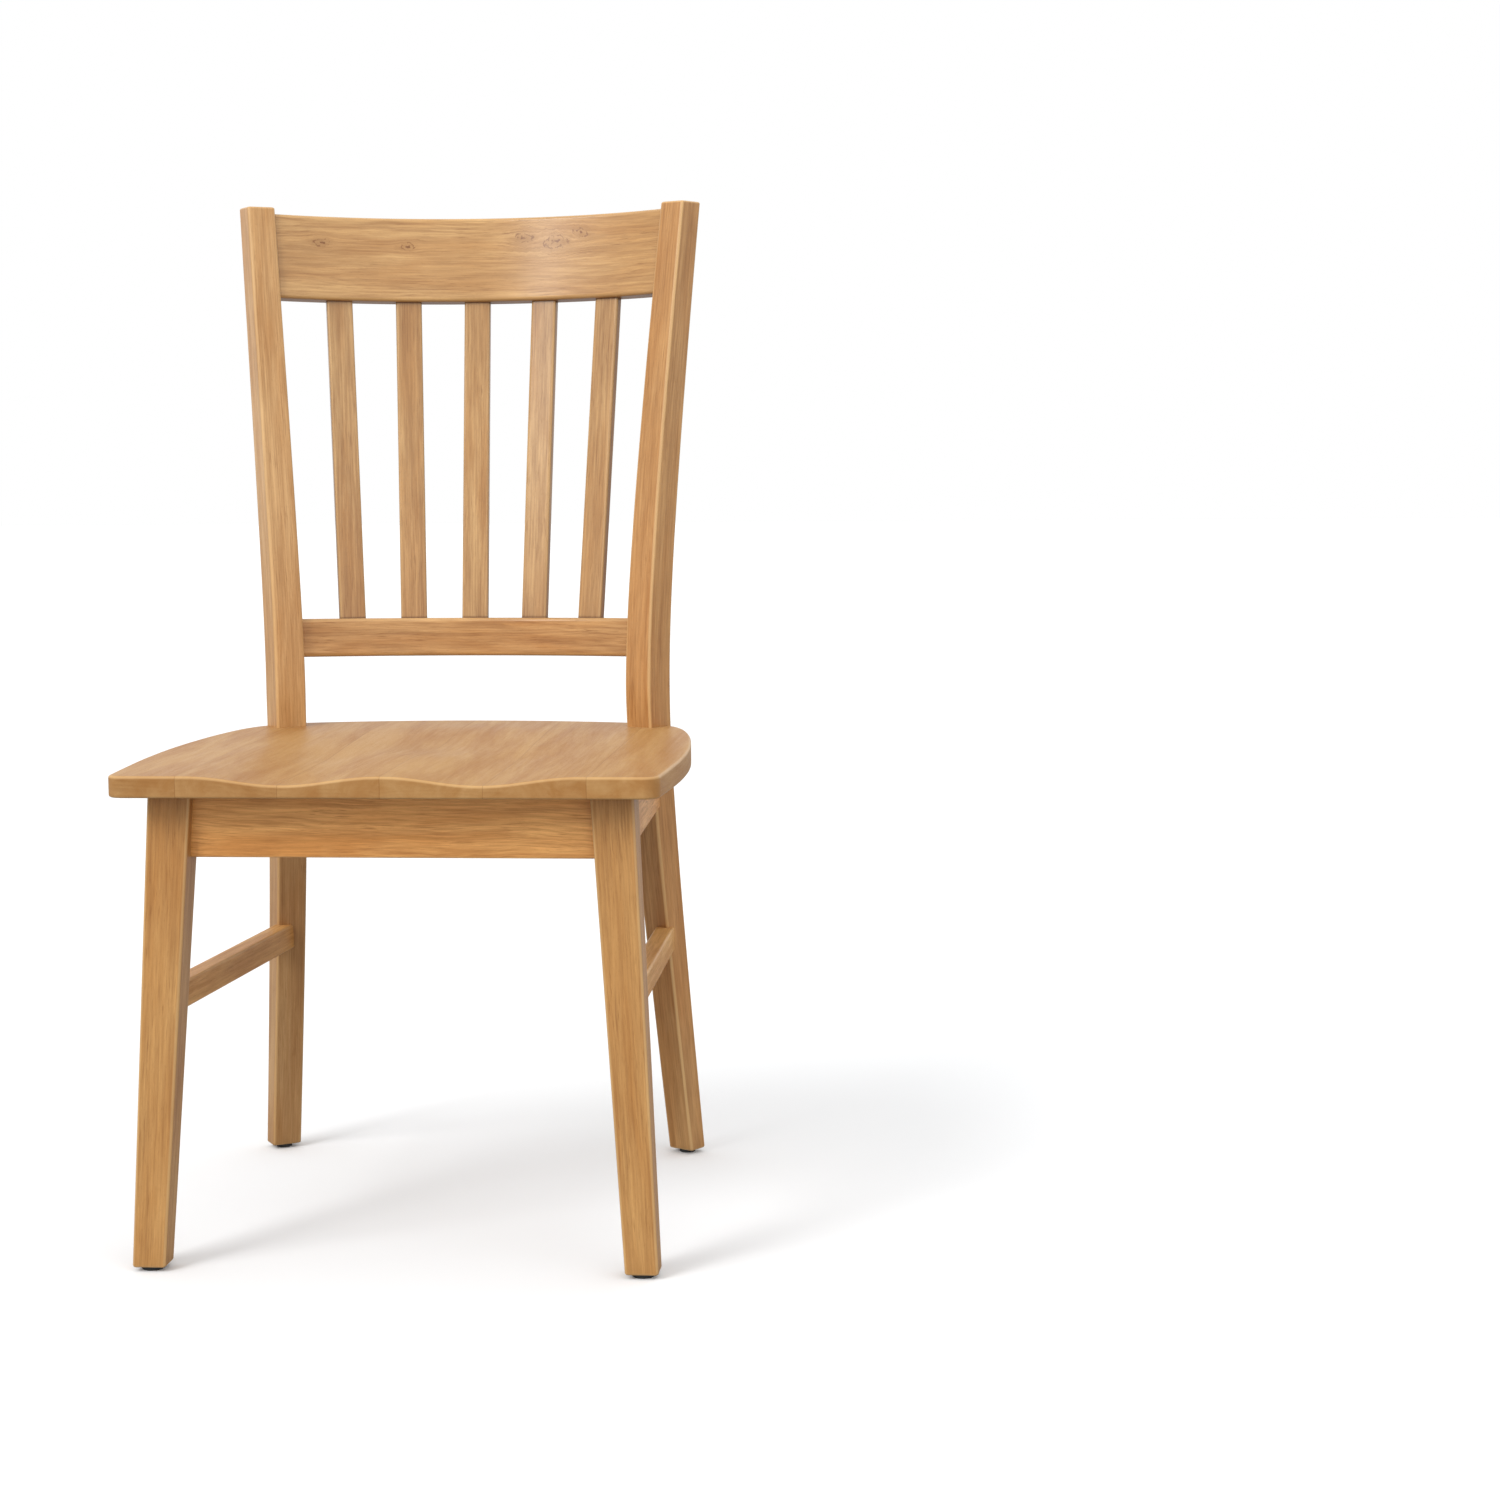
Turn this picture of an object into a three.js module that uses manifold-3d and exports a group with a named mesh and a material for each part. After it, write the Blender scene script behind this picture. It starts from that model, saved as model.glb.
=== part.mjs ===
// Slat-back dining chair in solid oak: glued-up saddle seat, tapered front legs, one-piece rear
// posts, curved rails and mortise-and-tenon joints. Millimetres, +Z up, the front faces -Y.
import * as THREE from "three";
import { mergeVertices } from "three/addons/utils/BufferGeometryUtils.js";
import Module from "manifold-3d";

// Overall sizes
const chairHeight = 1008;
const seatHeight = 462;
const seatWidth = 515;
const seatDepth = 496;
const seatThickness = 20;
const seatFront = -238;

// Gaps: between faces that meet, and round each tenon in its mortise
const jointGap = 0.3;
const tenonClearance = 0.3;

// Tenons, and the rounding of the long edges of each kind of bar
const tenonLength = 11;
const tenonThickness = 8;
const tenonEdgeRadius = 1;
const edgeRadius = 2.5;
const postEdgeRadius = 3.5;
const railEdgeRadius = 4;
const slatEdgeRadius = 3;

// Seat: boards glued edge to edge, rounded rim, two thigh hollows that join in a bowl
const boardCount = 6;
const seatCornerRadius = 16;
const seatRimRadius = 2.5;
const seatBackRise = 5;
const seatBackBow = 26;
const hollowDepth = 8;
const hollowSpacing = 180;
const hollowWidth = 88;
const hollowFadeFrontY = -50;
const hollowFadeBackY = 100;
const bowlDepth = 6;
const bowlY = 45;
const bowlHalfLength = 150;
const bowlHalfWidth = 215;
const seatSideShape = [
  [0.07, 0.975],
  [0.27, 0.995],
  [0.47, 0.99],
  [0.66, 0.957],
  [0.79, 0.913],
  [0.86, 0.867],
];

// Where the seat's outline passes a post, in half sections from its middle: outwards, then back
const outlineAtPostOuter = [1, 0.75];
const outlineAtPostInner = [-0.9, 0.75];
const outlineBackEnd = [-1.45, 1.1];
const seamPastBackEnd = 4;

// How far a board's blank reaches past the outline before it is cut to it
const blankSideMargin = 5;
const blankBackMargin = 30;

// Front legs: straight, tapered and splayed, with the widest section under the seat
const legTopWidth = 40;
const legTopDepth = 38;
const legFootWidth = 31;
const legFootDepth = 29.5;
const legTopInset = 54;
const legFrontInset = 58;
const legSplaySide = 25;
const legSplayFront = 25;

// Rear posts: one piece from floor to top, turned inwards, bending away from a waist above the seat
const postWaistAboveSeat = 42;
const postWaistInset = 66.5;
const postWaistY = 198.5;
const postTurn = THREE.MathUtils.degToRad(32);
const postSplayTop = 33;
const postLeanTop = 58;
const postSplayFoot = 30;
const postRakeFoot = 65;
const postSplayEase = 200;
const postLeanEase = 400;
const postRakeEase = 40;
const postTopSection = [29.5, 31];
const postWaistSection = [32.5, 36.5];
const postFootSection = [31.5, 24];

// Back: curved rails with the slats spaced at equal angles on their arcs
const railThickness = 20;
const crestHeight = 89.5;
const crestBelowTop = 7;
const crestTenonHeight = 62;
const crestSag = 3;
const lowerRailHeight = 40;
const lowerRailAboveSeat = 76;
const lowerRailTenonHeight = 25;
const lowerRailSag = 2;
const slatCount = 5;
const slatAngle = THREE.MathUtils.degToRad(11);
const slatWidth = 27.5;
const slatThickness = 10;
const slatTenonWidth = 18;
const slatTenonThickness = 6;
const slatTenonLength = 10;

// Frame below the seat
const apronHeight = 60;
const apronThickness = 18;
const apronTenonHeight = 40;
const apronInset = 12.5;
const rearApronY = 215;
const stretcherWidth = 20;
const stretcherHeight = 26;
const stretcherTenonHeight = 14;
const stretcherFrontZ = 249;
const stretcherRearZ = 239;

// Corner blocks: a screw into each of the two aprons, and one up into the seat
const blockLeg = 64;
const blockHeight = 38;
const blockBelowSeat = 6;
const screwShank = 4;
const screwHead = 8;
const screwHeadHeight = 2.4;
const screwRecess = 2.2;
const screwRecessDepth = 1.3;
const screwClearance = 0.3;
const screwIntoApron = 13;
const blockUnderHead = 9;
const blockScrewRise = 9;
const crossScrewReach = 44;
const sideScrewReach = 38;
const seatScrewReach = 23;
const seatScrewIntoSeat = 8;

// Glides: a disc under each foot with a nail-like stem
const glideThickness = 4;
const frontGlideDiameter = 21;
const rearGlideDiameter = 17;
const glideStemDiameter = 4;
const glideStemLength = 14;
const glideEdge = 1;

// Tips: the end of a screw, a screw's socket and a glide's stem, as parts of their full radius
const screwTip = 0.3;
const recessFloor = 0.6;
const stemTip = 0.4;

// Facets: how many steps each curved shape is made in
const postSteps = 26;
const railSteps = 22;
const slatSteps = 4;
const cornerSteps = 6;
const sideSteps = 22;
const backSteps = 8;
const boardStepsAcross = 6;
const boardStepsAlong = 24;
const screwSides = 16;
const glideSides = 28;

const wasm = await Module();
wasm.setup();

const seatUnderside = seatHeight - seatThickness;
const frameTop = seatUnderside - jointGap;
const postWaistZ = seatHeight + postWaistAboveSeat;
const apronMiddle = frameTop - apronHeight / 2;

// Shaping helpers
function solidOf(geometry) {
  const bare = geometry.clone();
  bare.deleteAttribute("normal");
  bare.deleteAttribute("uv");
  const merged = mergeVertices(bare, 1e-4);
  const vertProperties = new Float32Array(merged.attributes.position.array);
  const triVerts = new Uint32Array(merged.index.array);
  return new wasm.Manifold(new wasm.Mesh({ numProp: 3, vertProperties, triVerts }));
}

function geometryOf(solid) {
  const mesh = solid.getMesh();
  const geometry = new THREE.BufferGeometry();
  const positions = new THREE.BufferAttribute(new Float32Array(mesh.vertProperties), 3);
  geometry.setAttribute("position", positions);
  geometry.setIndex(new THREE.BufferAttribute(new Uint32Array(mesh.triVerts), 1));
  geometry.computeVertexNormals();
  return geometry;
}

function mirrored(geometry) {
  const copy = geometry.clone();
  copy.applyMatrix4(new THREE.Matrix4().makeScale(-1, 1, 1));
  const index = copy.index.array;
  for (let i = 0; i < index.length; i += 3) {
    [index[i + 1], index[i + 2]] = [index[i + 2], index[i + 1]];
  }
  copy.computeVertexNormals();
  return copy;
}

function roundedRectangle(width, height, radius) {
  const x = width / 2;
  const y = height / 2;
  const r = Math.min(radius, 0.45 * Math.min(width, height));
  const shape = new THREE.Shape();
  shape.moveTo(-x + r, -y);
  shape.lineTo(x - r, -y);
  shape.quadraticCurveTo(x, -y, x, -y + r);
  shape.lineTo(x, y - r);
  shape.quadraticCurveTo(x, y, x - r, y);
  shape.lineTo(-x + r, y);
  shape.quadraticCurveTo(-x, y, -x, y - r);
  shape.lineTo(-x, -y + r);
  shape.quadraticCurveTo(-x, -y, -x + r, -y);
  return shape;
}

// A bar of rounded section, carried by place(u, v, s) from s = from to s = to.
function bar({ width, height, from, to, steps = 1, radius = edgeRadius, place }) {
  const shape = roundedRectangle(width, height, radius);
  const geometry = new THREE.ExtrudeGeometry(shape, {
    depth: to - from,
    steps,
    curveSegments: 2,
    bevelEnabled: false,
  });
  const points = geometry.attributes.position;
  const point = new THREE.Vector3();
  for (let i = 0; i < points.count; i += 1) {
    point.fromBufferAttribute(points, i);
    const moved = place(point.x, point.y, point.z + from);
    points.setXYZ(i, moved.x, moved.y, moved.z);
  }
  return solidOf(geometry);
}

// Straight line from start to end; v follows the hint, u is square to both.
function along(start, end, hint) {
  const axis = end.clone().sub(start);
  const length = axis.length();
  axis.normalize();
  const up = hint.clone().addScaledVector(axis, -hint.dot(axis)).normalize();
  const side = up.clone().cross(axis);
  const place = (u, v, s) =>
    start.clone().addScaledVector(side, u).addScaledVector(up, v).addScaledVector(axis, s);
  return { place, length };
}

const upward = new THREE.Vector3(0, 0, 1);

// Rear posts
function eased(reach, run, total, ease) {
  const bend = (r) => (r * r) / (r + ease);
  return (total * bend(reach)) / bend(run);
}

function postCentre(z) {
  const waistX = seatWidth / 2 - postWaistInset;
  const rise = z - postWaistZ;
  if (rise >= 0) {
    const run = chairHeight - postWaistZ;
    const x = waistX + eased(rise, run, postSplayTop, postSplayEase);
    return [x, postWaistY + eased(rise, run, postLeanTop, postLeanEase)];
  }
  const run = postWaistZ - glideThickness;
  const x = waistX + eased(-rise, run, postSplayFoot, postSplayEase);
  return [x, postWaistY + eased(-rise, run, postRakeFoot, postRakeEase)];
}

function postSection(z, axis) {
  if (z >= postWaistZ) {
    const t = (z - postWaistZ) / (chairHeight - postWaistZ);
    return THREE.MathUtils.lerp(postWaistSection[axis], postTopSection[axis], t);
  }
  const t = (postWaistZ - z) / (postWaistZ - glideThickness);
  return THREE.MathUtils.lerp(postWaistSection[axis], postFootSection[axis], t);
}

// u runs outwards along the front face, v runs to the back, both in half sections.
function postPoint(u, v, z) {
  const [x, y] = postCentre(z);
  const outwards = (u * postSection(z, 0)) / 2;
  const backwards = (v * postSection(z, 1)) / 2;
  return new THREE.Vector3(
    x + outwards * Math.cos(postTurn) + backwards * Math.sin(postTurn),
    y - outwards * Math.sin(postTurn) + backwards * Math.cos(postTurn),
    z,
  );
}

function postSolid(extra, from, to) {
  const [width, depth] = postWaistSection;
  return bar({
    width: width + 2 * extra,
    height: depth + 2 * extra,
    from,
    to,
    steps: postSteps,
    radius: postEdgeRadius,
    place: (u, v, z) => postPoint((2 * u) / width, (2 * v) / depth, z),
  });
}

// Front legs
function legPoint(u, v, z) {
  const t = (frameTop - z) / (frameTop - glideThickness);
  const width = THREE.MathUtils.lerp(legTopWidth, legFootWidth, t);
  const depth = THREE.MathUtils.lerp(legTopDepth, legFootDepth, t);
  return new THREE.Vector3(
    seatWidth / 2 - legTopInset + legSplaySide * t + (u * width) / 2,
    seatFront + legFrontInset - legSplayFront * t + (v * depth) / 2,
    z,
  );
}

function legSolid(extra, from, to) {
  return bar({
    width: legTopWidth + 2 * extra,
    height: legTopDepth + 2 * extra,
    from,
    to,
    place: (u, v, z) => legPoint((2 * u) / legTopWidth, (2 * v) / legTopDepth, z),
  });
}

// Curved back rails
// A rail whose arc leaves each post square to its inner face, and which leans as the post leans.
// Its edges dip towards the middle of the chair by sag, as a parabola of the length along the arc.
function curvedRail(middleZ, height, tenonHeight, sag) {
  const end = postPoint(-1, 0, middleZ);
  const radius = end.x / Math.sin(postTurn);
  const centreY = end.y - radius * Math.cos(postTurn);
  const reach = 1;
  const lean = Math.atan(
    (postCentre(middleZ + reach)[1] - postCentre(middleZ - reach)[1]) / (2 * reach),
  );
  const shoulder = radius * postTurn;
  const place = (u, v, s) => {
    const angle = s / radius;
    const up = v - sag * (1 - (s / shoulder) ** 2);
    const out = radius + u * Math.cos(lean) + up * Math.sin(lean);
    const rise = up * Math.cos(lean) - u * Math.sin(lean);
    const x = out * Math.sin(angle);
    return new THREE.Vector3(x, centreY + out * Math.cos(angle), middleZ + rise);
  };
  const body = (extra, beyond) =>
    bar({
      width: railThickness + 2 * extra,
      height: height + 2 * extra,
      from: -shoulder - beyond,
      to: shoulder + beyond,
      steps: railSteps,
      radius: railEdgeRadius,
      place,
    });
  const tenon = (extra) =>
    bar({
      width: tenonThickness + 2 * extra,
      height: tenonHeight + 2 * extra,
      from: -shoulder - tenonLength - extra,
      to: shoulder + tenonLength + extra,
      steps: railSteps,
      radius: tenonEdgeRadius,
      place,
    });
  return { place, radius, height, body, tenon };
}

const crest = curvedRail(
  chairHeight - crestBelowTop - crestHeight / 2,
  crestHeight,
  crestTenonHeight,
  crestSag,
);
const lowerRail = curvedRail(
  seatHeight + lowerRailAboveSeat + lowerRailHeight / 2,
  lowerRailHeight,
  lowerRailTenonHeight,
  lowerRailSag,
);

// Slats
function slat(step) {
  const angle = step * slatAngle;
  const start = lowerRail.place(0, 0, angle * lowerRail.radius);
  const end = crest.place(0, 0, angle * crest.radius);
  const backwards = new THREE.Vector3(Math.sin(angle), Math.cos(angle), 0);
  const line = along(start, end, backwards);
  const body = bar({
    width: slatWidth,
    height: slatThickness,
    from: lowerRail.height / 4,
    to: line.length - crest.height / 4,
    steps: slatSteps,
    radius: slatEdgeRadius,
    place: line.place,
  });
  const tenon = (extra) =>
    bar({
      width: slatTenonWidth + 2 * extra,
      height: slatTenonThickness + 2 * extra,
      from: lowerRail.height / 2 - slatTenonLength - extra,
      to: line.length - crest.height / 2 + slatTenonLength + extra,
      radius: tenonEdgeRadius,
      place: line.place,
    });
  return { body, tenon };
}

// Straight rails below the seat
// Ends at a leg or post centre; the tenon reaches tenonLength past each shoulder.
function straightRail({ start, end, shoulders, width, height, tenonHeight }) {
  const line = along(start, end, upward);
  const body = (extra) =>
    bar({
      width: width + 2 * extra,
      height: height + 2 * extra,
      from: shoulders[0] / 2,
      to: line.length - shoulders[1] / 2,
      place: line.place,
    });
  const tenon = (extra) =>
    bar({
      width: tenonThickness + 2 * extra,
      height: tenonHeight + 2 * extra,
      from: shoulders[0] - tenonLength - extra,
      to: line.length - shoulders[1] + tenonLength + extra,
      radius: tenonEdgeRadius,
      place: line.place,
    });
  return { body, tenon };
}

const legMiddle = legPoint(0, 0, apronMiddle);
const legHalfWidth = legMiddle.x - legPoint(-1, 0, apronMiddle).x;
const legHalfDepth = legPoint(0, 1, apronMiddle).y - legMiddle.y;
const postMiddle = postPoint(0, 0, apronMiddle);
const postFrontReach = postSection(apronMiddle, 1) / 2 / Math.cos(postTurn);
const postInnerReach = postSection(apronMiddle, 0) / 2 / Math.cos(postTurn);
const frontApronY = legPoint(0, -1, apronMiddle).y + apronInset + apronThickness / 2;

const frontApron = straightRail({
  start: new THREE.Vector3(-legMiddle.x, frontApronY, apronMiddle),
  end: new THREE.Vector3(legMiddle.x, frontApronY, apronMiddle),
  shoulders: [legHalfWidth, legHalfWidth],
  width: apronThickness,
  height: apronHeight,
  tenonHeight: apronTenonHeight,
});
const rearOffset = (rearApronY - postMiddle.y) * Math.tan(postTurn);
const rearShoulder = postInnerReach - rearOffset;
const rearApron = straightRail({
  start: new THREE.Vector3(-postMiddle.x, rearApronY, apronMiddle),
  end: new THREE.Vector3(postMiddle.x, rearApronY, apronMiddle),
  shoulders: [rearShoulder, rearShoulder],
  width: apronThickness,
  height: apronHeight,
  tenonHeight: apronTenonHeight,
});
const sideApron = straightRail({
  start: legMiddle,
  end: postMiddle,
  shoulders: [legHalfDepth, postFrontReach],
  width: apronThickness,
  height: apronHeight,
  tenonHeight: apronTenonHeight,
});
const sideStretcher = straightRail({
  start: legPoint(0, 0, stretcherFrontZ),
  end: postPoint(0, 0, stretcherRearZ),
  shoulders: [
    (legPoint(0, 1, stretcherFrontZ).y - legPoint(0, -1, stretcherFrontZ).y) / 2,
    postSection(stretcherRearZ, 1) / 2 / Math.cos(postTurn),
  ],
  width: stretcherWidth,
  height: stretcherHeight,
  tenonHeight: stretcherTenonHeight,
});

// Fasteners
// A countersunk screw along +Z, its head face at the origin, or the hole for it.
function screwProfile(length, extra, recess) {
  const head = screwHead / 2 + extra;
  const shank = screwShank / 2 + extra;
  const pocket = 2 * screwHead;
  const profile = [
    new THREE.Vector2(0, length + extra),
    new THREE.Vector2(shank * screwTip, length + extra),
    new THREE.Vector2(shank, length - screwShank),
    new THREE.Vector2(shank, screwHeadHeight + extra),
    new THREE.Vector2(head, extra),
    new THREE.Vector2(head, recess ? 0 : -pocket),
  ];
  if (recess) {
    profile.push(new THREE.Vector2(screwRecess, 0));
    profile.push(new THREE.Vector2(screwRecess * recessFloor, screwRecessDepth));
    profile.push(new THREE.Vector2(0, screwRecessDepth));
  } else {
    profile.push(new THREE.Vector2(0, -pocket));
  }
  return profile;
}

// Revolved about Z; the profile is listed from the tip down, on the outside, back to the axis.
function revolved(profile, segments) {
  const geometry = new THREE.LatheGeometry(profile.slice().reverse(), segments);
  geometry.rotateX(Math.PI / 2);
  return geometry;
}

function fastener(length, at, direction) {
  const turn = new THREE.Quaternion().setFromUnitVectors(upward, direction);
  const matrix = new THREE.Matrix4().compose(at, turn, new THREE.Vector3(1, 1, 1));
  const screw = revolved(screwProfile(length, 0, true), screwSides).applyMatrix4(matrix);
  const bore = screwProfile(length, screwClearance, false);
  const hole = revolved(bore, screwSides).applyMatrix4(matrix);
  return { screw: solidOf(screw), hole: solidOf(hole) };
}

// Glides
function glide(diameter, extra) {
  const outer = diameter / 2;
  const stem = glideStemDiameter / 2 + extra;
  const top = glideThickness - jointGap;
  return [
    new THREE.Vector2(0, top + glideStemLength + extra),
    new THREE.Vector2(stem * stemTip, top + glideStemLength + extra),
    new THREE.Vector2(stem, top + glideStemLength - glideStemDiameter),
    new THREE.Vector2(stem, top),
    new THREE.Vector2(outer, top),
    new THREE.Vector2(outer, glideEdge),
    new THREE.Vector2(outer - glideEdge, 0),
    new THREE.Vector2(0, 0),
  ];
}

function glideAt(diameter, foot, extra) {
  const geometry = revolved(glide(diameter, extra), glideSides);
  geometry.translate(foot.x, foot.y, 0);
  return solidOf(geometry);
}

const frontFoot = legPoint(0, 0, glideThickness);
const rearFoot = postPoint(0, 0, glideThickness);

// Corner blocks
// A triangle in the corner between two aprons, notched round the leg or post.
function blockPrism(corner, toX, toY) {
  const shape = new THREE.Shape();
  shape.moveTo(corner.x, corner.y);
  shape.lineTo(corner.x + toX * blockLeg, corner.y);
  shape.lineTo(corner.x, corner.y + toY * blockLeg);
  shape.closePath();
  const geometry = new THREE.ExtrudeGeometry(shape, { depth: blockHeight, bevelEnabled: false });
  geometry.translate(0, 0, frameTop - blockBelowSeat - blockHeight);
  return solidOf(geometry);
}

function cornerBlock({ apronFaceY, toY, post }) {
  const sideY = apronFaceY + (toY * blockLeg) / 2;
  const t = (sideY - legMiddle.y) / (postMiddle.y - legMiddle.y);
  const sideX = THREE.MathUtils.lerp(legMiddle.x, postMiddle.x, t);
  const corner = new THREE.Vector2(sideX, apronFaceY + toY * jointGap);
  const middle = frameTop - blockBelowSeat - blockHeight / 2;
  const length = blockUnderHead + jointGap + screwIntoApron;
  const crossHead = new THREE.Vector3(
    corner.x - crossScrewReach,
    corner.y + toY * blockUnderHead,
    middle + blockScrewRise,
  );
  const sideHead = new THREE.Vector3(
    corner.x - apronThickness / 2 - jointGap - blockUnderHead,
    corner.y + toY * sideScrewReach,
    middle - blockScrewRise,
  );
  const seatHead = new THREE.Vector3(
    corner.x - seatScrewReach,
    corner.y + toY * seatScrewReach,
    frameTop - blockBelowSeat - blockHeight + screwRecessDepth,
  );
  const screws = [
    fastener(length, crossHead, new THREE.Vector3(0, -toY, 0)),
    fastener(length, sideHead, new THREE.Vector3(1, 0, 0)),
  ];
  const seatScrew = fastener(seatUnderside + seatScrewIntoSeat - seatHead.z, seatHead, upward);
  let block = blockPrism(corner, -1, toY).subtract(post).subtract(sideApron.body(jointGap));
  screws.forEach(({ hole }) => {
    block = block.subtract(hole);
  });
  return { block: block.subtract(seatScrew.hole), screws, seatScrew };
}

// Seat
// The back edge starts just inside each post, and the outermost seams end in the notches.
const backEnd = postPoint(...outlineBackEnd, seatHeight);
const boardPitch = (2 * (backEnd.x + seamPastBackEnd)) / (boardCount - 2);

function seatOutline() {
  const half = seatWidth / 2;
  const sidePoints = seatSideShape.map(
    ([t, w]) => new THREE.Vector2(half * w, seatFront + seatDepth * t),
  );
  const outer = postPoint(...outlineAtPostOuter, seatHeight);
  const inner = postPoint(...outlineAtPostInner, seatHeight);
  const backY = backEnd.y + seatBackBow;
  sidePoints.push(new THREE.Vector2(outer.x, outer.y));
  const cornerX = sidePoints[0].x - seatCornerRadius;
  const cornerY = seatFront + seatCornerRadius;
  const shape = new THREE.Shape();
  const spline = new THREE.SplineCurve([
    new THREE.Vector2(cornerX + seatCornerRadius, cornerY),
    ...sidePoints.slice(1),
  ]);
  const side = spline.getPoints(sideSteps);
  const corner = [];
  for (let i = 0; i <= cornerSteps; i += 1) {
    const angle = -Math.PI / 2 + (i * Math.PI) / (2 * cornerSteps);
    corner.push(
      new THREE.Vector2(
        cornerX + seatCornerRadius * Math.cos(angle),
        cornerY + seatCornerRadius * Math.sin(angle),
      ),
    );
  }
  const back = [new THREE.Vector2(inner.x, inner.y)];
  for (let i = backSteps; i >= 1; i -= 1) {
    const x = (backEnd.x * i) / backSteps;
    back.push(new THREE.Vector2(x, backY - seatBackBow * (x / backEnd.x) ** 2));
  }
  const right = [...corner, ...side.slice(1), ...back];
  const left = right.map((p) => new THREE.Vector2(-p.x, p.y)).reverse();
  shape.setFromPoints([...right, new THREE.Vector2(0, backY), ...left]);
  return shape;
}

// The top rises evenly towards the back while the underside stays level.
function riseAt(y) {
  return (seatBackRise * (y - seatFront)) / seatDepth;
}

function seatBlank() {
  const geometry = new THREE.ExtrudeGeometry(seatOutline(), {
    depth: seatThickness - 2 * seatRimRadius,
    bevelEnabled: true,
    bevelSize: seatRimRadius,
    bevelThickness: seatRimRadius,
    bevelOffset: -seatRimRadius,
    bevelSegments: 2,
  });
  geometry.translate(0, 0, seatUnderside + seatRimRadius);
  const points = geometry.attributes.position;
  for (let i = 0; i < points.count; i += 1) {
    if (points.getZ(i) > seatUnderside + seatThickness / 2) {
      points.setZ(i, points.getZ(i) + riseAt(points.getY(i)));
    }
  }
  return solidOf(geometry);
}

// How far the top is hollowed at (x, y): the deeper of the thigh hollows and the bowl.
function hollowAt(x, y) {
  const bump = (r) => (r < 1 ? Math.cos((r * Math.PI) / 2) ** 2 : 0);
  const off = Math.abs(x) - hollowSpacing / 2;
  const fade = THREE.MathUtils.smoothstep(y, hollowFadeFrontY, hollowFadeBackY);
  const thigh = hollowDepth * bump(Math.abs(off) / hollowWidth) * (1 - fade);
  const bowlReach = Math.hypot(x / bowlHalfWidth, (y - bowlY) / bowlHalfLength);
  return Math.hypot(thigh, bowlDepth * bump(bowlReach));
}

function seatBoard(number, blank, posts) {
  const edge = seatWidth / 2 + blankSideMargin;
  const left = number === 0 ? -edge : (number - boardCount / 2) * boardPitch + jointGap / 2;
  const last = number === boardCount - 1;
  const right = last ? edge : (number + 1 - boardCount / 2) * boardPitch - jointGap / 2;
  const back = seatFront + seatDepth + blankBackMargin;
  const geometry = new THREE.BoxGeometry(
    right - left,
    back - seatFront,
    seatThickness,
    boardStepsAcross,
    boardStepsAlong,
    1,
  );
  geometry.translate((left + right) / 2, (back + seatFront) / 2, seatUnderside + seatThickness / 2);
  const points = geometry.attributes.position;
  for (let i = 0; i < points.count; i += 1) {
    if (points.getZ(i) > seatUnderside + seatThickness / 2) {
      const y = points.getY(i);
      points.setZ(i, seatHeight + riseAt(y) - hollowAt(points.getX(i), y));
    }
  }
  return solidOf(geometry).intersect(blank).subtract(posts);
}

// Materials and assembly
const oakFrame = { color: 0xc58a4c, roughness: 0.45, metalness: 0 };
const oakSeat = { color: 0xc98f52, roughness: 0.42, metalness: 0 };
const blockWood = { color: 0xb98a5a, roughness: 0.7, metalness: 0 };
const screwSteel = { color: 0x8f8f8c, roughness: 0.35, metalness: 1 };
const glideBlack = { color: 0x1c1b1a, roughness: 0.6, metalness: 0 };

const group = new THREE.Group();
group.name = "dining_chair";

function addNode(name, geometry, look) {
  const mesh = new THREE.Mesh(geometry, new THREE.MeshStandardMaterial(look));
  mesh.name = name;
  group.add(mesh);
}

function addPair(name, solid, look) {
  const right = geometryOf(solid);
  addNode(`${name}_right`, right, look);
  addNode(`${name}_left`, mirrored(right), look);
}

const margin = 60;
const bothSides = (solid) => solid.add(solidOf(mirrored(geometryOf(solid))));
const postFull = postSolid(jointGap, glideThickness, chairHeight);
const legFull = legSolid(jointGap, glideThickness, frameTop + margin);
const postPairFull = bothSides(postFull);
const legPairFull = bothSides(legFull);

const frontBlock = cornerBlock({
  apronFaceY: frontApronY + apronThickness / 2,
  toY: 1,
  post: legFull,
});
const rearBlock = cornerBlock({
  apronFaceY: rearApronY - apronThickness / 2,
  toY: -1,
  post: postFull,
});

let frontLeg = legSolid(0, glideThickness, frameTop);
[frontApron, sideApron, sideStretcher].forEach((rail) => {
  frontLeg = frontLeg.subtract(rail.tenon(tenonClearance));
});
frontLeg = frontLeg.subtract(glideAt(frontGlideDiameter, frontFoot, screwClearance));
addPair("front_leg", frontLeg, oakFrame);

let rearPost = postSolid(0, glideThickness, chairHeight);
[rearApron, sideApron, sideStretcher, crest, lowerRail].forEach((rail) => {
  rearPost = rearPost.subtract(rail.tenon(tenonClearance));
});
rearPost = rearPost.subtract(glideAt(rearGlideDiameter, rearFoot, screwClearance));
addPair("rear_post", rearPost, oakFrame);

const crossRail = (rail, posts, block) =>
  rail.body(0).subtract(posts).add(rail.tenon(0)).subtract(bothSides(block.screws[0].hole));
addNode("front_apron", geometryOf(crossRail(frontApron, legPairFull, frontBlock)), oakFrame);
addNode("rear_apron", geometryOf(crossRail(rearApron, postPairFull, rearBlock)), oakFrame);
const sideFrame = legFull.add(postFull);
const sideApronSolid = sideApron.body(0).subtract(sideFrame).add(sideApron.tenon(0));
const sideHoles = frontBlock.screws[1].hole.add(rearBlock.screws[1].hole);
addPair("side_apron", sideApronSolid.subtract(sideHoles), oakFrame);
addPair(
  "side_stretcher",
  sideStretcher.body(0).subtract(sideFrame).add(sideStretcher.tenon(0)),
  oakFrame,
);

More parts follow.
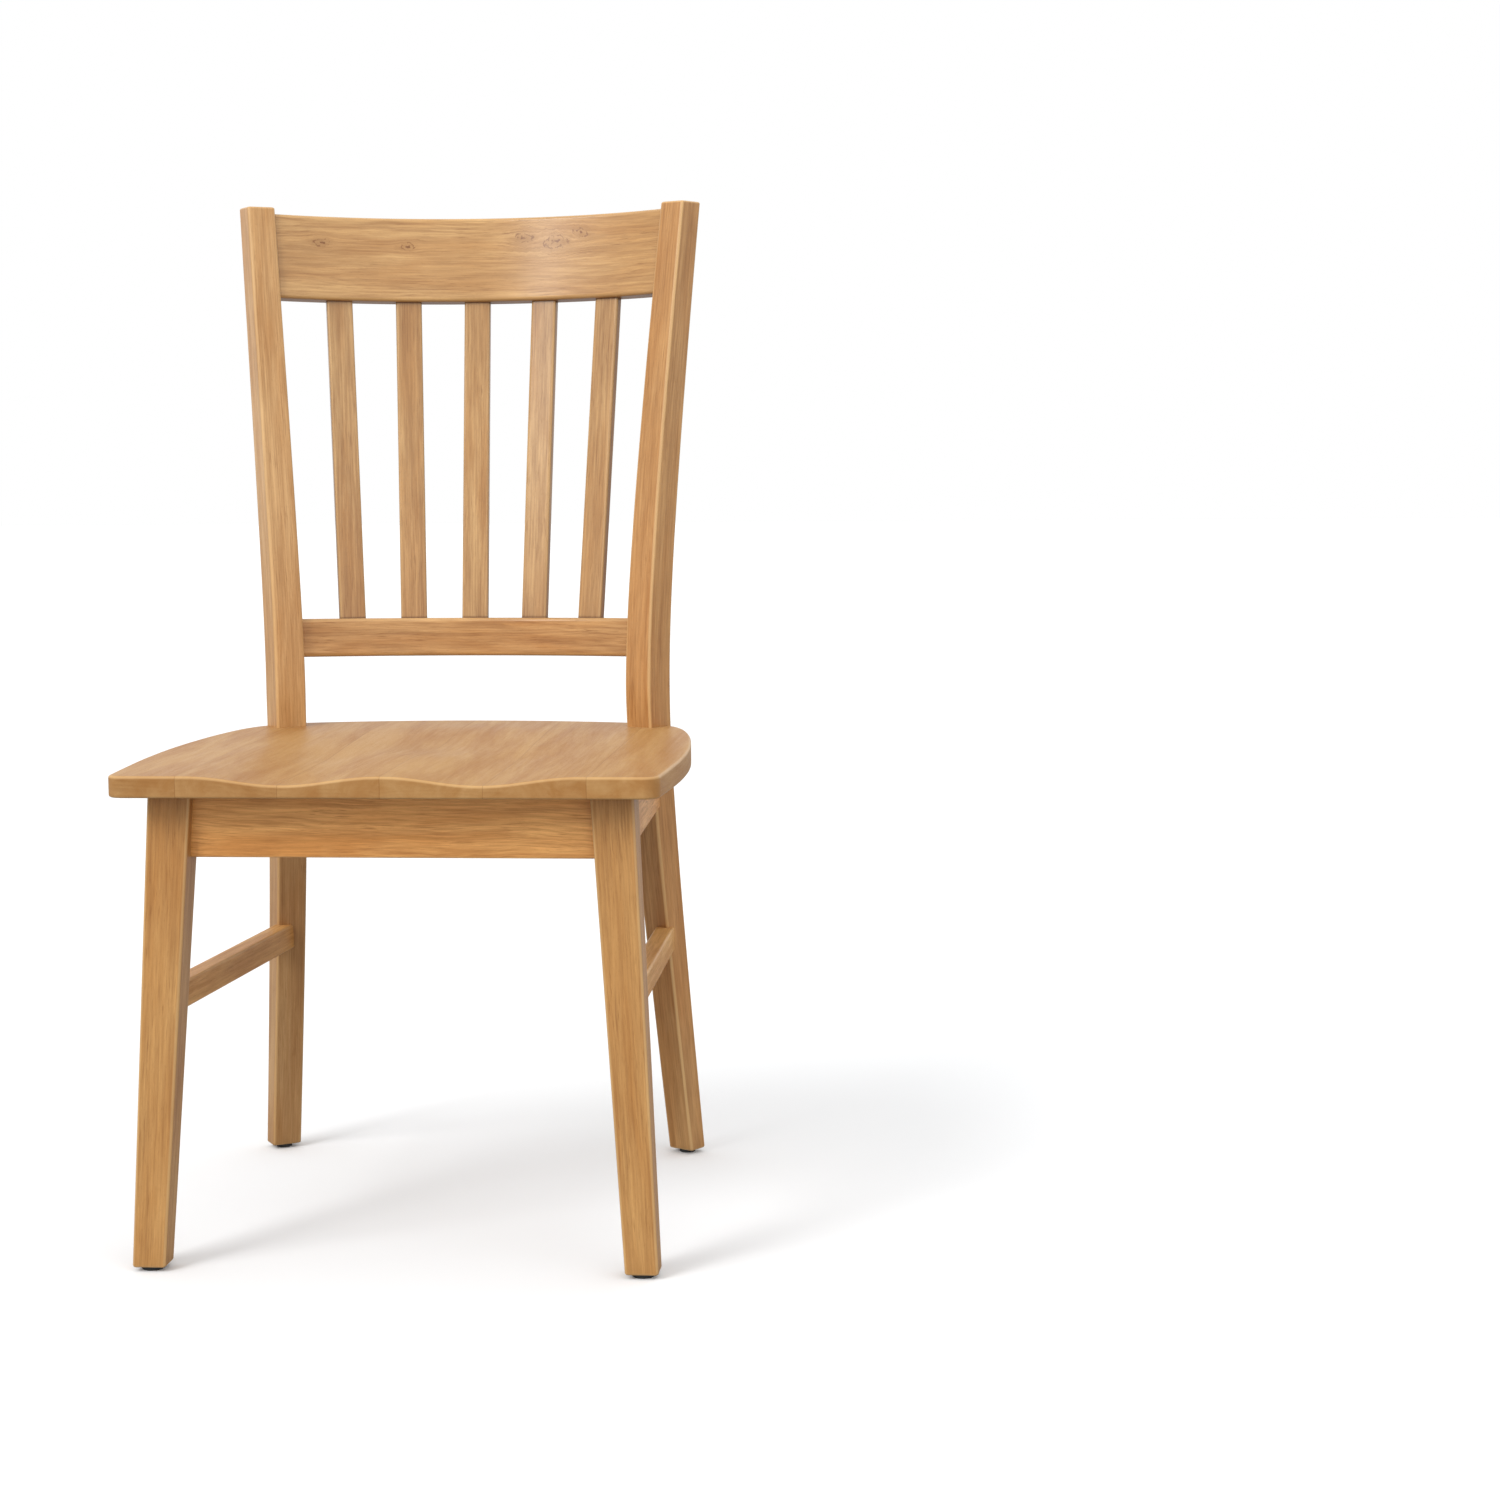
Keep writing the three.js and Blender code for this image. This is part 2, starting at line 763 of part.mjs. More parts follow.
const slats = [];
for (let i = 0; i < slatCount; i += 1) {
  slats.push(slat(i - (slatCount - 1) / 2));
}
function railSolid(rail) {
  let solid = rail.body(0, 0).subtract(postPairFull).add(rail.tenon(0));
  slats.forEach(({ tenon }) => {
    solid = solid.subtract(tenon(tenonClearance));
  });
  return solid;
}
addNode("crest_rail", geometryOf(railSolid(crest)), oakFrame);
addNode("lower_back_rail", geometryOf(railSolid(lowerRail)), oakFrame);
slats.forEach(({ body, tenon }, i) => {
  const rails = crest.body(jointGap, 0).add(lowerRail.body(jointGap, 0));
  addNode(`slat_${i + 1}`, geometryOf(body.subtract(rails).add(tenon(0))), oakFrame);
});

const blank = seatBlank();
const seatHoles = frontBlock.seatScrew.hole.add(rearBlock.seatScrew.hole);
const seatCuts = postPairFull.add(bothSides(seatHoles));
for (let i = 0; i < boardCount; i += 1) {
  addNode(`seat_board_${i + 1}`, geometryOf(seatBoard(i, blank, seatCuts)), oakSeat);
}

[["front", frontBlock], ["rear", rearBlock]].forEach(([name, { block, screws, seatScrew }]) => {
  addPair(`${name}_corner_block`, block, blockWood);
  addPair(`${name}_block_screw_cross`, screws[0].screw, screwSteel);
  addPair(`${name}_block_screw_side`, screws[1].screw, screwSteel);
  addPair(`${name}_seat_screw`, seatScrew.screw, screwSteel);
});
addPair("front_glide", glideAt(frontGlideDiameter, frontFoot, 0), glideBlack);
addPair("rear_glide", glideAt(rearGlideDiameter, rearFoot, 0), glideBlack);

// The origin is under the middle of the chair's box.
const box = new THREE.Box3().setFromObject(group);
group.position.y = -(box.min.y + box.max.y) / 2;

export default group;
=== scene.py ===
import bpy
import math
import numpy as np
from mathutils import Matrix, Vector


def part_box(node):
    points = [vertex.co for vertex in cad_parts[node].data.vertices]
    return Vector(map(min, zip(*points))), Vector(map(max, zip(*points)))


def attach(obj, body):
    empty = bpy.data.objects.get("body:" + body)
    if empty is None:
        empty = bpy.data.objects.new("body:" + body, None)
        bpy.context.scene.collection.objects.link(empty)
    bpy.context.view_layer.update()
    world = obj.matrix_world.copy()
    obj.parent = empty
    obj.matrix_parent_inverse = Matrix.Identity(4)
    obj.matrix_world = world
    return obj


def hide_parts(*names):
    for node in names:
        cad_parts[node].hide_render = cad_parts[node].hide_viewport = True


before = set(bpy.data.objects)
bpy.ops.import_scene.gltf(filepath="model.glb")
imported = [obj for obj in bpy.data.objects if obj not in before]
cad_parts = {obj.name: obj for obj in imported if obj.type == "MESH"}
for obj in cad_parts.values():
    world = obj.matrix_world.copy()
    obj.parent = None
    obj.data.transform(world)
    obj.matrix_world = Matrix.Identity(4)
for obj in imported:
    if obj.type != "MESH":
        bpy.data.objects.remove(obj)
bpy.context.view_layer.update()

# heights and the seat's front edge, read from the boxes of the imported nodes
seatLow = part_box("seat_board_3")[0]
legLow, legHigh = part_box("front_leg_right")
frontY = seatLow[1]
seatUnder = seatLow[2]
frameTop = legHigh[2]
woodFoot = legLow[2]
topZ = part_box("rear_post_right")[1][2]
sides = {"right": 1, "left": -1}


# Each vector divided by its own length.
def unit(vectors):
    return vectors / np.linalg.norm(vectors, axis=-1, keepdims=True)


# A new object in the scene, from its mesh, light or camera.
def addObject(name, data):
    made = bpy.data.objects.new(name, data)
    bpy.context.scene.collection.objects.link(made)
    return made


# mesh making: every piece is a grid of points, closed round its profile and over its ends

# Points of a rounded rectangle for every station: corner centre + radius * (cos, sin),
# with one extra point on each flat, a little way from the arc, so the flats stay flat.
def roundedProfile(halfAcross, halfOut, radius, support=0.0006, arcSteps=6):
    signs = np.array([[1, 1], [-1, 1], [-1, -1], [1, -1]], float)
    angles = np.linspace(0, math.pi / 2, arcSteps + 1)
    start = np.array([0, math.pi / 2, math.pi, 1.5 * math.pi])
    end = start + math.pi / 2
    theta = start[:, None] + angles
    arc = np.stack([np.cos(theta), np.sin(theta)], -1)
    arcUnit = np.concatenate([arc[:, :1], arc, arc[:, -1:]], 1)
    slide = np.zeros_like(arcUnit)
    slide[:, 0] = np.stack([np.sin(start), -np.cos(start)], -1) * support
    slide[:, -1] = np.stack([-np.sin(end), np.cos(end)], -1) * support
    arcUnit, slide = arcUnit.reshape(-1, 2), slide.reshape(-1, 2)
    corner = np.repeat(signs, arcSteps + 3, 0)
    arris = np.tile(np.concatenate([[0], np.sin(2 * angles), [0]]), 4)
    half = np.stack([halfAcross, halfOut], -1)[:, None]
    r = radius[:, None, None]
    return corner * (half - r) + r * arcUnit + slide, arris, arcUnit


# Quads between neighbouring rings, and a fan from a middle point over each end ring.
def closedGrid(rings, name):
    n, m, _ = rings.shape
    index = np.arange(n * m).reshape(n, m)
    turned = np.roll(index, -1, 1)
    quads = np.stack([index[:-1], turned[:-1], turned[1:], index[1:]], -1).reshape(-1, 4)
    lowFan = np.stack([turned[0], index[0], np.full(m, n * m)], -1)
    highFan = np.stack([index[-1], turned[-1], np.full(m, n * m + 1)], -1)
    points = np.concatenate([rings.reshape(-1, 3), rings[[0, -1]].mean(1)])
    volume = 0.0  # its sign tells whether the faces look out
    for triangles in (quads[:, :3], quads[:, [0, 2, 3]], lowFan, highFan):
        p0, p1, p2 = points[triangles].transpose(1, 0, 2)
        volume += (p0 * np.cross(p1, p2)).sum()
    if volume < 0:
        quads, lowFan, highFan = quads[:, ::-1], lowFan[:, ::-1], highFan[:, ::-1]
    faces = quads.tolist() + lowFan.tolist() + highFan.tolist()
    mesh = bpy.data.meshes.new(name)
    mesh.from_pydata(points.tolist(), [], faces)
    mesh.polygons.foreach_set("use_smooth", np.ones(len(faces), bool))
    mesh.update()
    return addObject(name, mesh)


# values holds one row for each point; three columns make a vector, none a number.
def writeAttribute(piece, name, values):
    kind, field = ("FLOAT_VECTOR", "vector") if values.ndim == 2 else ("FLOAT", "value")
    layer = piece.data.attributes.new(name, kind, "POINT")
    layer.data.foreach_set(field, values.astype(np.float32).ravel())


# One number for each point of the grid, and zero at the two middle points that close it.
def writeMask(piece, name, values):
    writeAttribute(piece, name, np.concatenate([np.ravel(values), [0, 0]]))


# Gives the piece its material in a new slot, puts it under the root body and hides the imported nodes it
# stands for.
def finishPiece(piece, material, replaced):
    piece.data.materials.append(material)
    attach(piece, "root")
    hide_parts(*replaced)


# Stations and how far the section shrinks at each: at both ends it follows a quarter
# circle, inset = r (1 - cos t), while the station moves r sin t, then closes flat.
def withEnds(s, endRadius, closing=0.0012, steps=5):
    t = np.linspace(0, math.pi / 2, steps + 1)[1:]
    lowR, highR = endRadius
    low = (s[0] + lowR - lowR * np.sin(t))[::-1]
    high = s[-1] - highR + highR * np.sin(t)
    lowInset = (lowR * (1 - np.cos(t)))[::-1]
    highInset = highR * (1 - np.cos(t))
    body = s.copy()
    body[0] += lowR
    body[-1] -= highR
    level = np.zeros(len(body))
    # the rounded ends count as arris too: painted paler, partly wear and partly painted highlight
    wearAndHighlight = np.sin(2 * t)
    stations = np.concatenate([low[:1], low, body, high, high[-1:]])
    inset = np.concatenate([lowInset[:1] + closing, lowInset, level, highInset, highInset[-1:] + closing])
    edge = np.concatenate([[0], wearAndHighlight[::-1], level, wearAndHighlight, [0]])
    return stations, inset, edge


# for every bar; largestRadius is a share of the smaller half size, and nearJoint adds
# stations for the dark line at a joint; the last two set where the painted shade low on a
# post begins below the seat and over how much height it fades in
barValues = {
    "smallestRadius": 0.0004, "largestRadius": 0.96, "nearJoint": (0, 0.0004, 0.0012, 0.0024, 0.0045),
    "jointWidth": 0.0022, "jointFade": 1.5, "paintedShadeLowTop": 0.45, "paintedShadeLowFade": 0.08,
}


# A rounded bar: centre(s) + u across(s) + v out(s), with u and v on the rounded profile.
# path gives centre, across and out at each station; size gives the half sizes there.
def carve(name, path, size, values, material, replaced):
    low, high = values["span"]
    tuck = values.get("tuck", 0)
    s = np.linspace(low, high, values["stations"])
    if tuck:
        near = np.array(barValues["nearJoint"])
        s = np.unique(np.concatenate([s, low + tuck + near, high - tuck - near]))
    stations, inset, endEdge = withEnds(s, values["endRadius"])
    centre, across, out = path(stations)
    halfAcross, halfOut = size(stations)
    radius = np.minimum(values["edgeRadius"], barValues["largestRadius"] * np.minimum(halfAcross, halfOut))
    radius = np.maximum(radius - 0.5 * inset, barValues["smallestRadius"])
    profile, arris, facing = roundedProfile(halfAcross - inset, halfOut - inset, radius)
    u, v = profile[..., 0], profile[..., 1]
    rings = centre[:, None] + u[..., None] * across[:, None] + v[..., None] * out[:, None]
    piece = closedGrid(rings, name)
    grain = np.stack([u, v, np.broadcast_to(stations[:, None], u.shape)], -1).reshape(-1, 3)
    ends = np.array([[0, 0, stations[0]], [0, 0, stations[-1]]])
    writeAttribute(piece, "grain", np.concatenate([grain, ends]) + np.array(values["board"]))
    writeMask(piece, "arris", np.maximum(arris, endEdge[:, None]))
    line = stations * 0
    if tuck:
        fromJoint = np.minimum(stations - low - tuck, high - tuck - stations)
        line = np.clip(1 - fromJoint / barValues["jointWidth"], 0, 1) ** barValues["jointFade"]
    writeMask(piece, "joint", np.broadcast_to(line[:, None], u.shape))
    # painted shade: side faces and faces that look down are darkened by the bar's two face weights, standing
    # in for the shade that falls on them
    paintedSideShade, paintedUnderShade = values.get("paintedShadeOnFaces", (0, 0))
    dark = paintedSideShade * facing[:, 0] ** 2 + paintedUnderShade * np.maximum(-facing[:, 1], 0) ** 2
    # painted shade: a post is darkened from below the seat down to its foot, where the seat shades it
    shadeTowardFoot = np.clip((barValues["paintedShadeLowTop"] - stations) / barValues["paintedShadeLowFade"], 0, 1)
    # a slat is darker toward both ends: partly painted shade where the rails shade it, partly finish built up
    # there
    fromMiddle = np.abs(2 * (stations - low) / (high - low) - 1)
    along = values.get("paintedShadeLow", 0) * shadeTowardFoot + values.get("paintedShadeAndFinishAtEnds", 0) * fromMiddle**3
    writeMask(piece, "shade", dark + along[:, None])
    finishPiece(piece, material, replaced)


# The same path on the other side of the chair; across is turned so the bar isn't inside out.
def mirrorAcross(path, side):
    return lambda s: [part * np.array([side, 1, 1]) for part in path(s)]


# One direction, the same at every station.
def steady(direction, s):
    return np.tile(np.array(direction, float), (len(s), 1))


# Half sizes that stay the same along a bar.
def evenHalf(width, height):
    return lambda s: (np.full(len(s), width / 2), np.full(len(s), height / 2))


# A point of a post or leg at one height; u and v count in half sections.
def pointAt(path, half, u, v, z):
    centre, across, out = path(np.array([z]))
    halfWidth, halfDepth = half(np.array([z]))
    return (centre + u * halfWidth * across + v * halfDepth * out)[0]


# wood: node groups shared by all the oak

# Fixed values of a node's inputs.
def setInputs(node, **values):
    for label, value in values.items():
        node.inputs[label].default_value = value


# Short ways to add nodes to one tree.
class Wires:
    def __init__(self, tree):
        self.tree = tree

    def put(self, kind, **settings):
        node = self.tree.nodes.new(kind)
        for key, value in settings.items():
            setattr(node, key, value)
        return node

    def join(self, source, target):
        self.tree.links.new(source, target)

    def feed(self, target, value):
        if isinstance(value, bpy.types.NodeSocket):
            self.join(value, target)
        else:
            target.default_value = value

    def maths(self, operation, *values):
        node = self.put("ShaderNodeMath", operation=operation)
        for target, value in zip(node.inputs, values):
            self.feed(target, value)
        return node.outputs[0]

    def plus(self, first, second):
        return self.maths("ADD", first, second)

    def minus(self, first, second):
        return self.maths("SUBTRACT", first, second)

    def times(self, first, second):
        return self.maths("MULTIPLY", first, second)

    def vector(self, operation, first, second=None, scale=None):
        node = self.put("ShaderNodeVectorMath", operation=operation)
        for target, value in ((0, first), (1, second), ("Scale", scale)):
            if value is not None:
                self.feed(node.inputs[target], value)
        return node.outputs["Value" if operation == "LENGTH" else "Vector"]

    def noise(self, vector, scale, detail=2.0, roughness=0.5, distortion=0.0):
        node = self.put("ShaderNodeTexNoise")
        self.feed(node.inputs["Vector"], vector)
        setInputs(node, Scale=scale, Detail=detail, Roughness=roughness, Distortion=distortion)
        return node.outputs[0]

    # noise drawn out along the grain: the last coordinate is squeezed before it is read
    def streaks(self, parts, squeeze, **look):
        x, y, z = parts
        return self.noise(self.merge(x, y, self.times(z, squeeze)), **look)

    def remap(self, value, low, high, outLow=0.0, outHigh=1.0):
        node = self.put("ShaderNodeMapRange")
        node.clamp = True
        for i, item in enumerate((value, low, high, outLow, outHigh)):
            self.feed(node.inputs[i], item)
        return node.outputs[0]

    def blend(self, factor, first, second, kind="MIX"):
        node = self.put("ShaderNodeMix", data_type="RGBA", blend_type=kind)
        self.feed(node.inputs[0], factor)
        self.feed(node.inputs[6], first)
        self.feed(node.inputs[7], second)
        return node.outputs[2]

    def split(self, vector):
        node = self.put("ShaderNodeSeparateXYZ")
        self.feed(node.inputs[0], vector)
        return node.outputs

    def merge(self, x, y, z):
        node = self.put("ShaderNodeCombineXYZ")
        for i, value in enumerate((x, y, z)):
            self.feed(node.inputs[i], value)
        return node.outputs[0]

    # colour and roughness of a shader
    def paint(self, shader, colour, rough):
        self.join(colour, shader.inputs["Base Color"])
        self.join(rough, shader.inputs["Roughness"])

    # small bumps from a height mask, on the shader's normal
    def relief(self, height, shader, strength, distance):
        node = self.put("ShaderNodeBump")
        setInputs(node, Strength=strength, Distance=distance)
        self.join(height, node.inputs["Height"])
        self.join(node.outputs[0], shader.inputs["Normal"])

    # each value goes to the group's output of the same name
    def giveOut(self, results):
        out = self.put("NodeGroupOutput").inputs
        for name, value in results.items():
            self.join(value, out[name])


# A new node group, its wires and its inputs. The kind of an input follows from its first
# value: a number, a vector of three or a colour of four.
def newGroup(name, inputs, outputs):
    group = bpy.data.node_groups.new(name, "ShaderNodeTree")
    for label, value in inputs.items():
        kind = {1: "NodeSocketFloat", 3: "NodeSocketVector", 4: "NodeSocketColor"}[np.size(value)]
        group.interface.new_socket(label, in_out="INPUT", socket_type=kind).default_value = value
    for label, kind in outputs.items():
        group.interface.new_socket(label, in_out="OUTPUT", socket_type=f"NodeSocket{kind}")
    w = Wires(group)
    return group, w, w.put("NodeGroupInput").outputs


knotValues = {
    "flatten": 0.5, "wobbleScale": 210.0, "wobble": 1.7, "reach": 0.5, "push": 0.8,
    "heart": (0.16, 0.40), "outlineAt": 0.95, "outline": (0.05, 0.24), "outlineDark": 0.85,
    "breakScale": 240.0, "breaks": (0.40, 0.52), "halo": (0.7, 2.2), "haloDark": 0.22,
}


# A small knot: the grain is pushed out of it by exp(-(reach * distance / size)^2), and the
# knot shows a dark heart, a broken thin outline round it and a faint halo.
def makeKnotEye():
    p = knotValues
    inputs = {"Grain Place": (0, 0, 0), "Centre": (0, 0, 0), "Size": 0.006}
    group, w, given = newGroup("knotEye", inputs, {"Bent Place": "Vector", "Eye": "Float"})
    place = given["Grain Place"]
    y, z = w.split(w.vector("SUBTRACT", place, given["Centre"]))[1:]
    flat = w.merge(0.0, y, w.times(z, p["flatten"]))
    wobble = w.times(w.minus(w.noise(place, p["wobbleScale"]), 0.5), p["wobble"])
    ratio = w.plus(w.maths("DIVIDE", w.vector("LENGTH", flat), given["Size"]), wobble)
    wide = w.times(ratio, p["reach"])
    pull = w.maths("POWER", 2.718, w.times(w.times(wide, wide), -1.0))
    bent = w.vector("ADD", place, w.vector("SCALE", flat, scale=w.times(pull, -p["push"])))
    heart = w.remap(ratio, *p["heart"], 1.0, 0.0)
    fromOutline = w.maths("ABSOLUTE", w.minus(ratio, p["outlineAt"]))
    outline = w.remap(fromOutline, *p["outline"], p["outlineDark"], 0.0)
    broken = w.remap(w.noise(place, p["breakScale"], 1.0), *p["breaks"])
    halo = w.remap(ratio, *p["halo"], p["haloDark"], 0.0)
    eye = w.maths("MAXIMUM", w.maths("MAXIMUM", heart, w.times(outline, broken)), halo)
    w.giveOut({"Bent Place": bent, "Eye": eye})
    return group


grainLayers = {
    "fading": {"squeeze": 0.3, "scale": 42.0},
    "fine": {"squeeze": 0.030, "scale": 470.0, "detail": 3.0, "roughness": 0.60},
    "broad": {"squeeze": 0.05, "scale": 165.0, "detail": 3.0, "roughness": 0.78},
    "flecks": {"squeeze": 0.05, "scale": 900.0, "distortion": 0.2},
    "clumps": {"squeeze": 0.35, "scale": 58.0},
    "pores": {"squeeze": 0.12, "scale": 2100.0, "detail": 1.0, "roughness": 0.4},
    "blotches": {"squeeze": 0.13, "scale": 34.0, "detail": 4.0, "roughness": 0.6, "distortion": 0.5},
}
ringValues = {
    "swayAcross": 14.0, "swayAlong": 4.0, "swayScale": 1.6, "swayDetail": 3.0,
    "unevenAlong": 1.5, "unevenScale": 0.55, "uneven": 2.4, "lateWood": 2.2, "lateEnd": 0.82,
    "faded": (0.35, 0.62), "fineShare": 0.45, "fleckEdge": (0.56, 0.72), "clumpEdge": (0.42, 0.62),
    "fleckLeast": 0.25, "poreEdge": (0.60, 0.72),
}
figureMasks = ("Rings", "Fibres", "Flecks", "Pores", "Blotches")


# Growth rings round a tilted pith line, bent by slow noise; then fibres, flecks, open pores
# and soft blotches, all drawn out along the grain by squeezing its third coordinate.
def makeOakFigure():
    p = ringValues
    inputs = {
        "Grain Place": (0, 0, 0), "Pith Away": (0.012, 0.05, 0), "Pith Tilt": 0.03,
        "Ring Width": 0.0032, "Waviness": 0.004,
    }
    group, w, given = newGroup("oakFigure", inputs, dict.fromkeys(figureMasks, "Float"))
    place = given["Grain Place"]
    x, y, z = straight = w.split(place)
    slow = w.merge(w.times(x, p["swayAcross"]), w.times(y, p["swayAcross"]), w.times(z, p["swayAlong"]))
    sway = w.put("ShaderNodeTexNoise")
    w.join(slow, sway.inputs["Vector"])
    setInputs(sway, Scale=p["swayScale"], Detail=p["swayDetail"])
    push = w.vector("SUBTRACT", sway.outputs[1], (0.5, 0.5, 0.5))
    push = w.vector("SCALE", push, scale=given["Waviness"])
    bent = w.split(w.vector("ADD", place, push))
    pithX, pithY = w.split(given["Pith Away"])[:2]
    fromPithX = w.minus(bent[0], pithX)
    fromPithY = w.plus(w.minus(bent[1], pithY), w.times(z, given["Pith Tilt"]))
    radius = w.vector("LENGTH", w.merge(fromPithX, fromPithY, 0.0))
    ringCount = w.maths("DIVIDE", radius, given["Ring Width"])
    uneven = w.noise(w.merge(ringCount, w.times(z, p["unevenAlong"]), 0.0), p["unevenScale"])
    phase = w.maths("FRACT", w.plus(ringCount, w.times(uneven, p["uneven"])))
    late = w.maths("POWER", phase, p["lateWood"])
    rings = w.times(late, w.remap(phase, p["lateEnd"], 1.0, 1.0, 0.0))
    rings = w.times(rings, w.remap(w.streaks(straight, **grainLayers["fading"]), *p["faded"]))
    fine = w.streaks(bent, **grainLayers["fine"])
    broad = w.streaks(bent, **grainLayers["broad"])
    fibres = w.plus(w.times(fine, p["fineShare"]), w.times(broad, 1 - p["fineShare"]))
    flecks = w.remap(w.streaks(bent, **grainLayers["flecks"]), *p["fleckEdge"])
    clumps = w.remap(w.streaks(straight, **grainLayers["clumps"]), *p["clumpEdge"])
    flecks = w.times(flecks, w.plus(w.times(clumps, 1 - p["fleckLeast"]), p["fleckLeast"]))
    pores = w.remap(w.streaks(bent, **grainLayers["pores"]), *p["poreEdge"])
    blotches = w.streaks(straight, **grainLayers["blotches"])
    w.giveOut({"Rings": rings, "Fibres": fibres, "Flecks": flecks, "Pores": pores, "Blotches": blotches})
    return group


finishValues = {
    "blotchRange": (0.36, 0.64), "fibreRange": (0.38, 0.62),
    "streakDark": 0.66, "fleckDark": 0.8, "ringDark": 0.55, "ringInShade": 1.3, "poreDark": 0.16,
    "arrisWearAndHighlight": 0.25, "arrisWearAndHighlightTone": (0.74, 0.49, 0.23, 1),
    "jointDark": 0.8, "jointTone": (0.10, 0.04, 0.012, 1),
    "roughBetween": 0.09, "roughPores": 0.12, "smoothArris": 0.06,
    "fibreHigh": 0.4, "poreDeep": 0.6, "fleckDeep": 0.35, "jointDeep": 2.0,
}


# Colour, roughness and relief of lacquered oak: each mask of the figure, times its weight,
# mixes a darker or paler tone over the last.
def makeOakFinish():
    p = finishValues
    inputs = dict.fromkeys(figureMasks + ("Knot", "Arris", "Joint", "Shade"), 0.0)
    inputs.update({
        "Pale": (0.6, 0.35, 0.14, 1), "Honey": (0.5, 0.25, 0.09, 1), "Dark": (0.25, 0.1, 0.03, 1),
        "Contrast": 0.5, "Mottle": 1.0, "Gloss": 0.38,
    })
    outputs = {"Colour": "Color", "Roughness": "Float", "Relief": "Float"}
    group, w, given = newGroup("oakFinish", inputs, outputs)
    contrast, dark, shade = given["Contrast"], given["Dark"], given["Shade"]
    mottle = w.times(w.remap(given["Blotches"], *p["blotchRange"], -0.5, 0.5), given["Mottle"])
    colour = w.blend(w.plus(mottle, 0.5), given["Honey"], given["Pale"])
    fibre = w.remap(given["Fibres"], *p["fibreRange"])
    between = w.minus(1.0, fibre)
    ringWeight = w.plus(w.times(contrast, p["ringDark"]), w.times(shade, p["ringInShade"]))
    for mask, tone in (
        (w.times(between, w.times(contrast, p["streakDark"])), dark),
        (w.times(given["Flecks"], w.times(contrast, p["fleckDark"])), dark),
        (w.times(given["Rings"], ringWeight), dark),
        (w.times(given["Pores"], p["poreDark"]), dark),
        # the shade mask: painted shade on the bars; on the seat, end-grain darkening of the rim with a
        # painted fade across it
        (shade, dark),
        (given["Knot"], dark),
        # arrises are painted paler: partly finish worn thin at the edges, partly painted highlight
        (w.times(given["Arris"], p["arrisWearAndHighlight"]), p["arrisWearAndHighlightTone"]),
        (w.times(given["Joint"], p["jointDark"]), p["jointTone"]),
    ):
        colour = w.blend(mask, colour, tone)
    rough = w.plus(given["Gloss"], w.times(between, p["roughBetween"]))
    rough = w.plus(rough, w.times(given["Pores"], p["roughPores"]))
    rough = w.minus(rough, w.times(given["Arris"], p["smoothArris"]))
    relief = w.times(fibre, p["fibreHigh"])
    for name, depth in (("Pores", "poreDeep"), ("Flecks", "fleckDeep"), ("Joint", "jointDeep")):
        relief = w.minus(relief, w.times(given[name], p[depth]))
    w.giveOut({"Colour": colour, "Roughness": rough, "Relief": relief})
    return group


boardValues = {
    "firstBoard": -3.0, "lastBoard": 2.0, "dice": 11.3, "shift": (0.07, 0.05, 3.0),
    "glueLine": (0.0001, 0.00045), "lastSeam": (2.5, 2.51),
}


# Which seat board a place is on, a shift for that board's own grain, and the glue line.
def makeGluedBoards():
    p = boardValues
    inputs = {"Grain Place": (0, 0, 0), "Board Width": 0.0933}
    outputs = {"Board Grain": "Vector", "Glue Line": "Float", "Board Tone": "Float"}
    group, w, given = newGroup("gluedBoards", inputs, outputs)
    width = given["Board Width"]
    x, y, z = w.split(given["Grain Place"])
    count = w.maths("DIVIDE", x, width)
    number = w.maths("MAXIMUM", w.maths("MINIMUM", w.maths("FLOOR", count), p["lastBoard"]), p["firstBoard"])
    dice = w.put("ShaderNodeTexWhiteNoise", noise_dimensions="1D")
    w.join(w.plus(number, p["dice"]), dice.inputs["W"])
    shift = w.vector("MULTIPLY", dice.outputs["Color"], p["shift"])
    middle = w.times(w.plus(number, 0.5), width)
    boardGrain = w.vector("ADD", w.merge(w.minus(x, middle), y, z), shift)
    nearest = w.maths("ABSOLUTE", w.minus(count, w.maths("ROUND", count)))
    line = w.remap(w.times(nearest, width), *p["glueLine"], 1.0, 0.0)
    inner = w.remap(w.maths("ABSOLUTE", count), *p["lastSeam"], 1.0, 0.0)
    w.giveOut({
        "Board Grain": boardGrain, "Glue Line": w.times(line, inner), "Board Tone": dice.outputs["Value"],
    })
    return group


# A new empty material, with its wires and the surface input to fill.
def newMaterial(name):
    material = bpy.data.materials.new(name)
    material.use_nodes = True
    material.node_tree.nodes.clear()
    w = Wires(material.node_tree)
    return material, w, w.put("ShaderNodeOutputMaterial").inputs[0]


# A new material with one Principled shader on its surface.
def newGlossy(name):
    material, w, surface = newMaterial(name)
    shader = w.put("ShaderNodeBsdfPrincipled")
    w.join(shader.outputs[0], surface)
    return material, w, shader


knotEye = makeKnotEye()
oakFigure = makeOakFigure()
oakFinish = makeOakFinish()
gluedBoards = makeGluedBoards()

oakTones = {
    "pale": (0.580, 0.340, 0.150),
    "honey": (0.460, 0.228, 0.080),
    "dark": (0.190, 0.070, 0.016),
    "coatWeight": 0.15,
    "coatRoughness": 0.22,
    "specular": 0.28,
    "reliefDistance": 0.0002,
    "reliefStrength": 0.35,
    "boardShade": 0.16,
    "glueShade": 0.5,
}


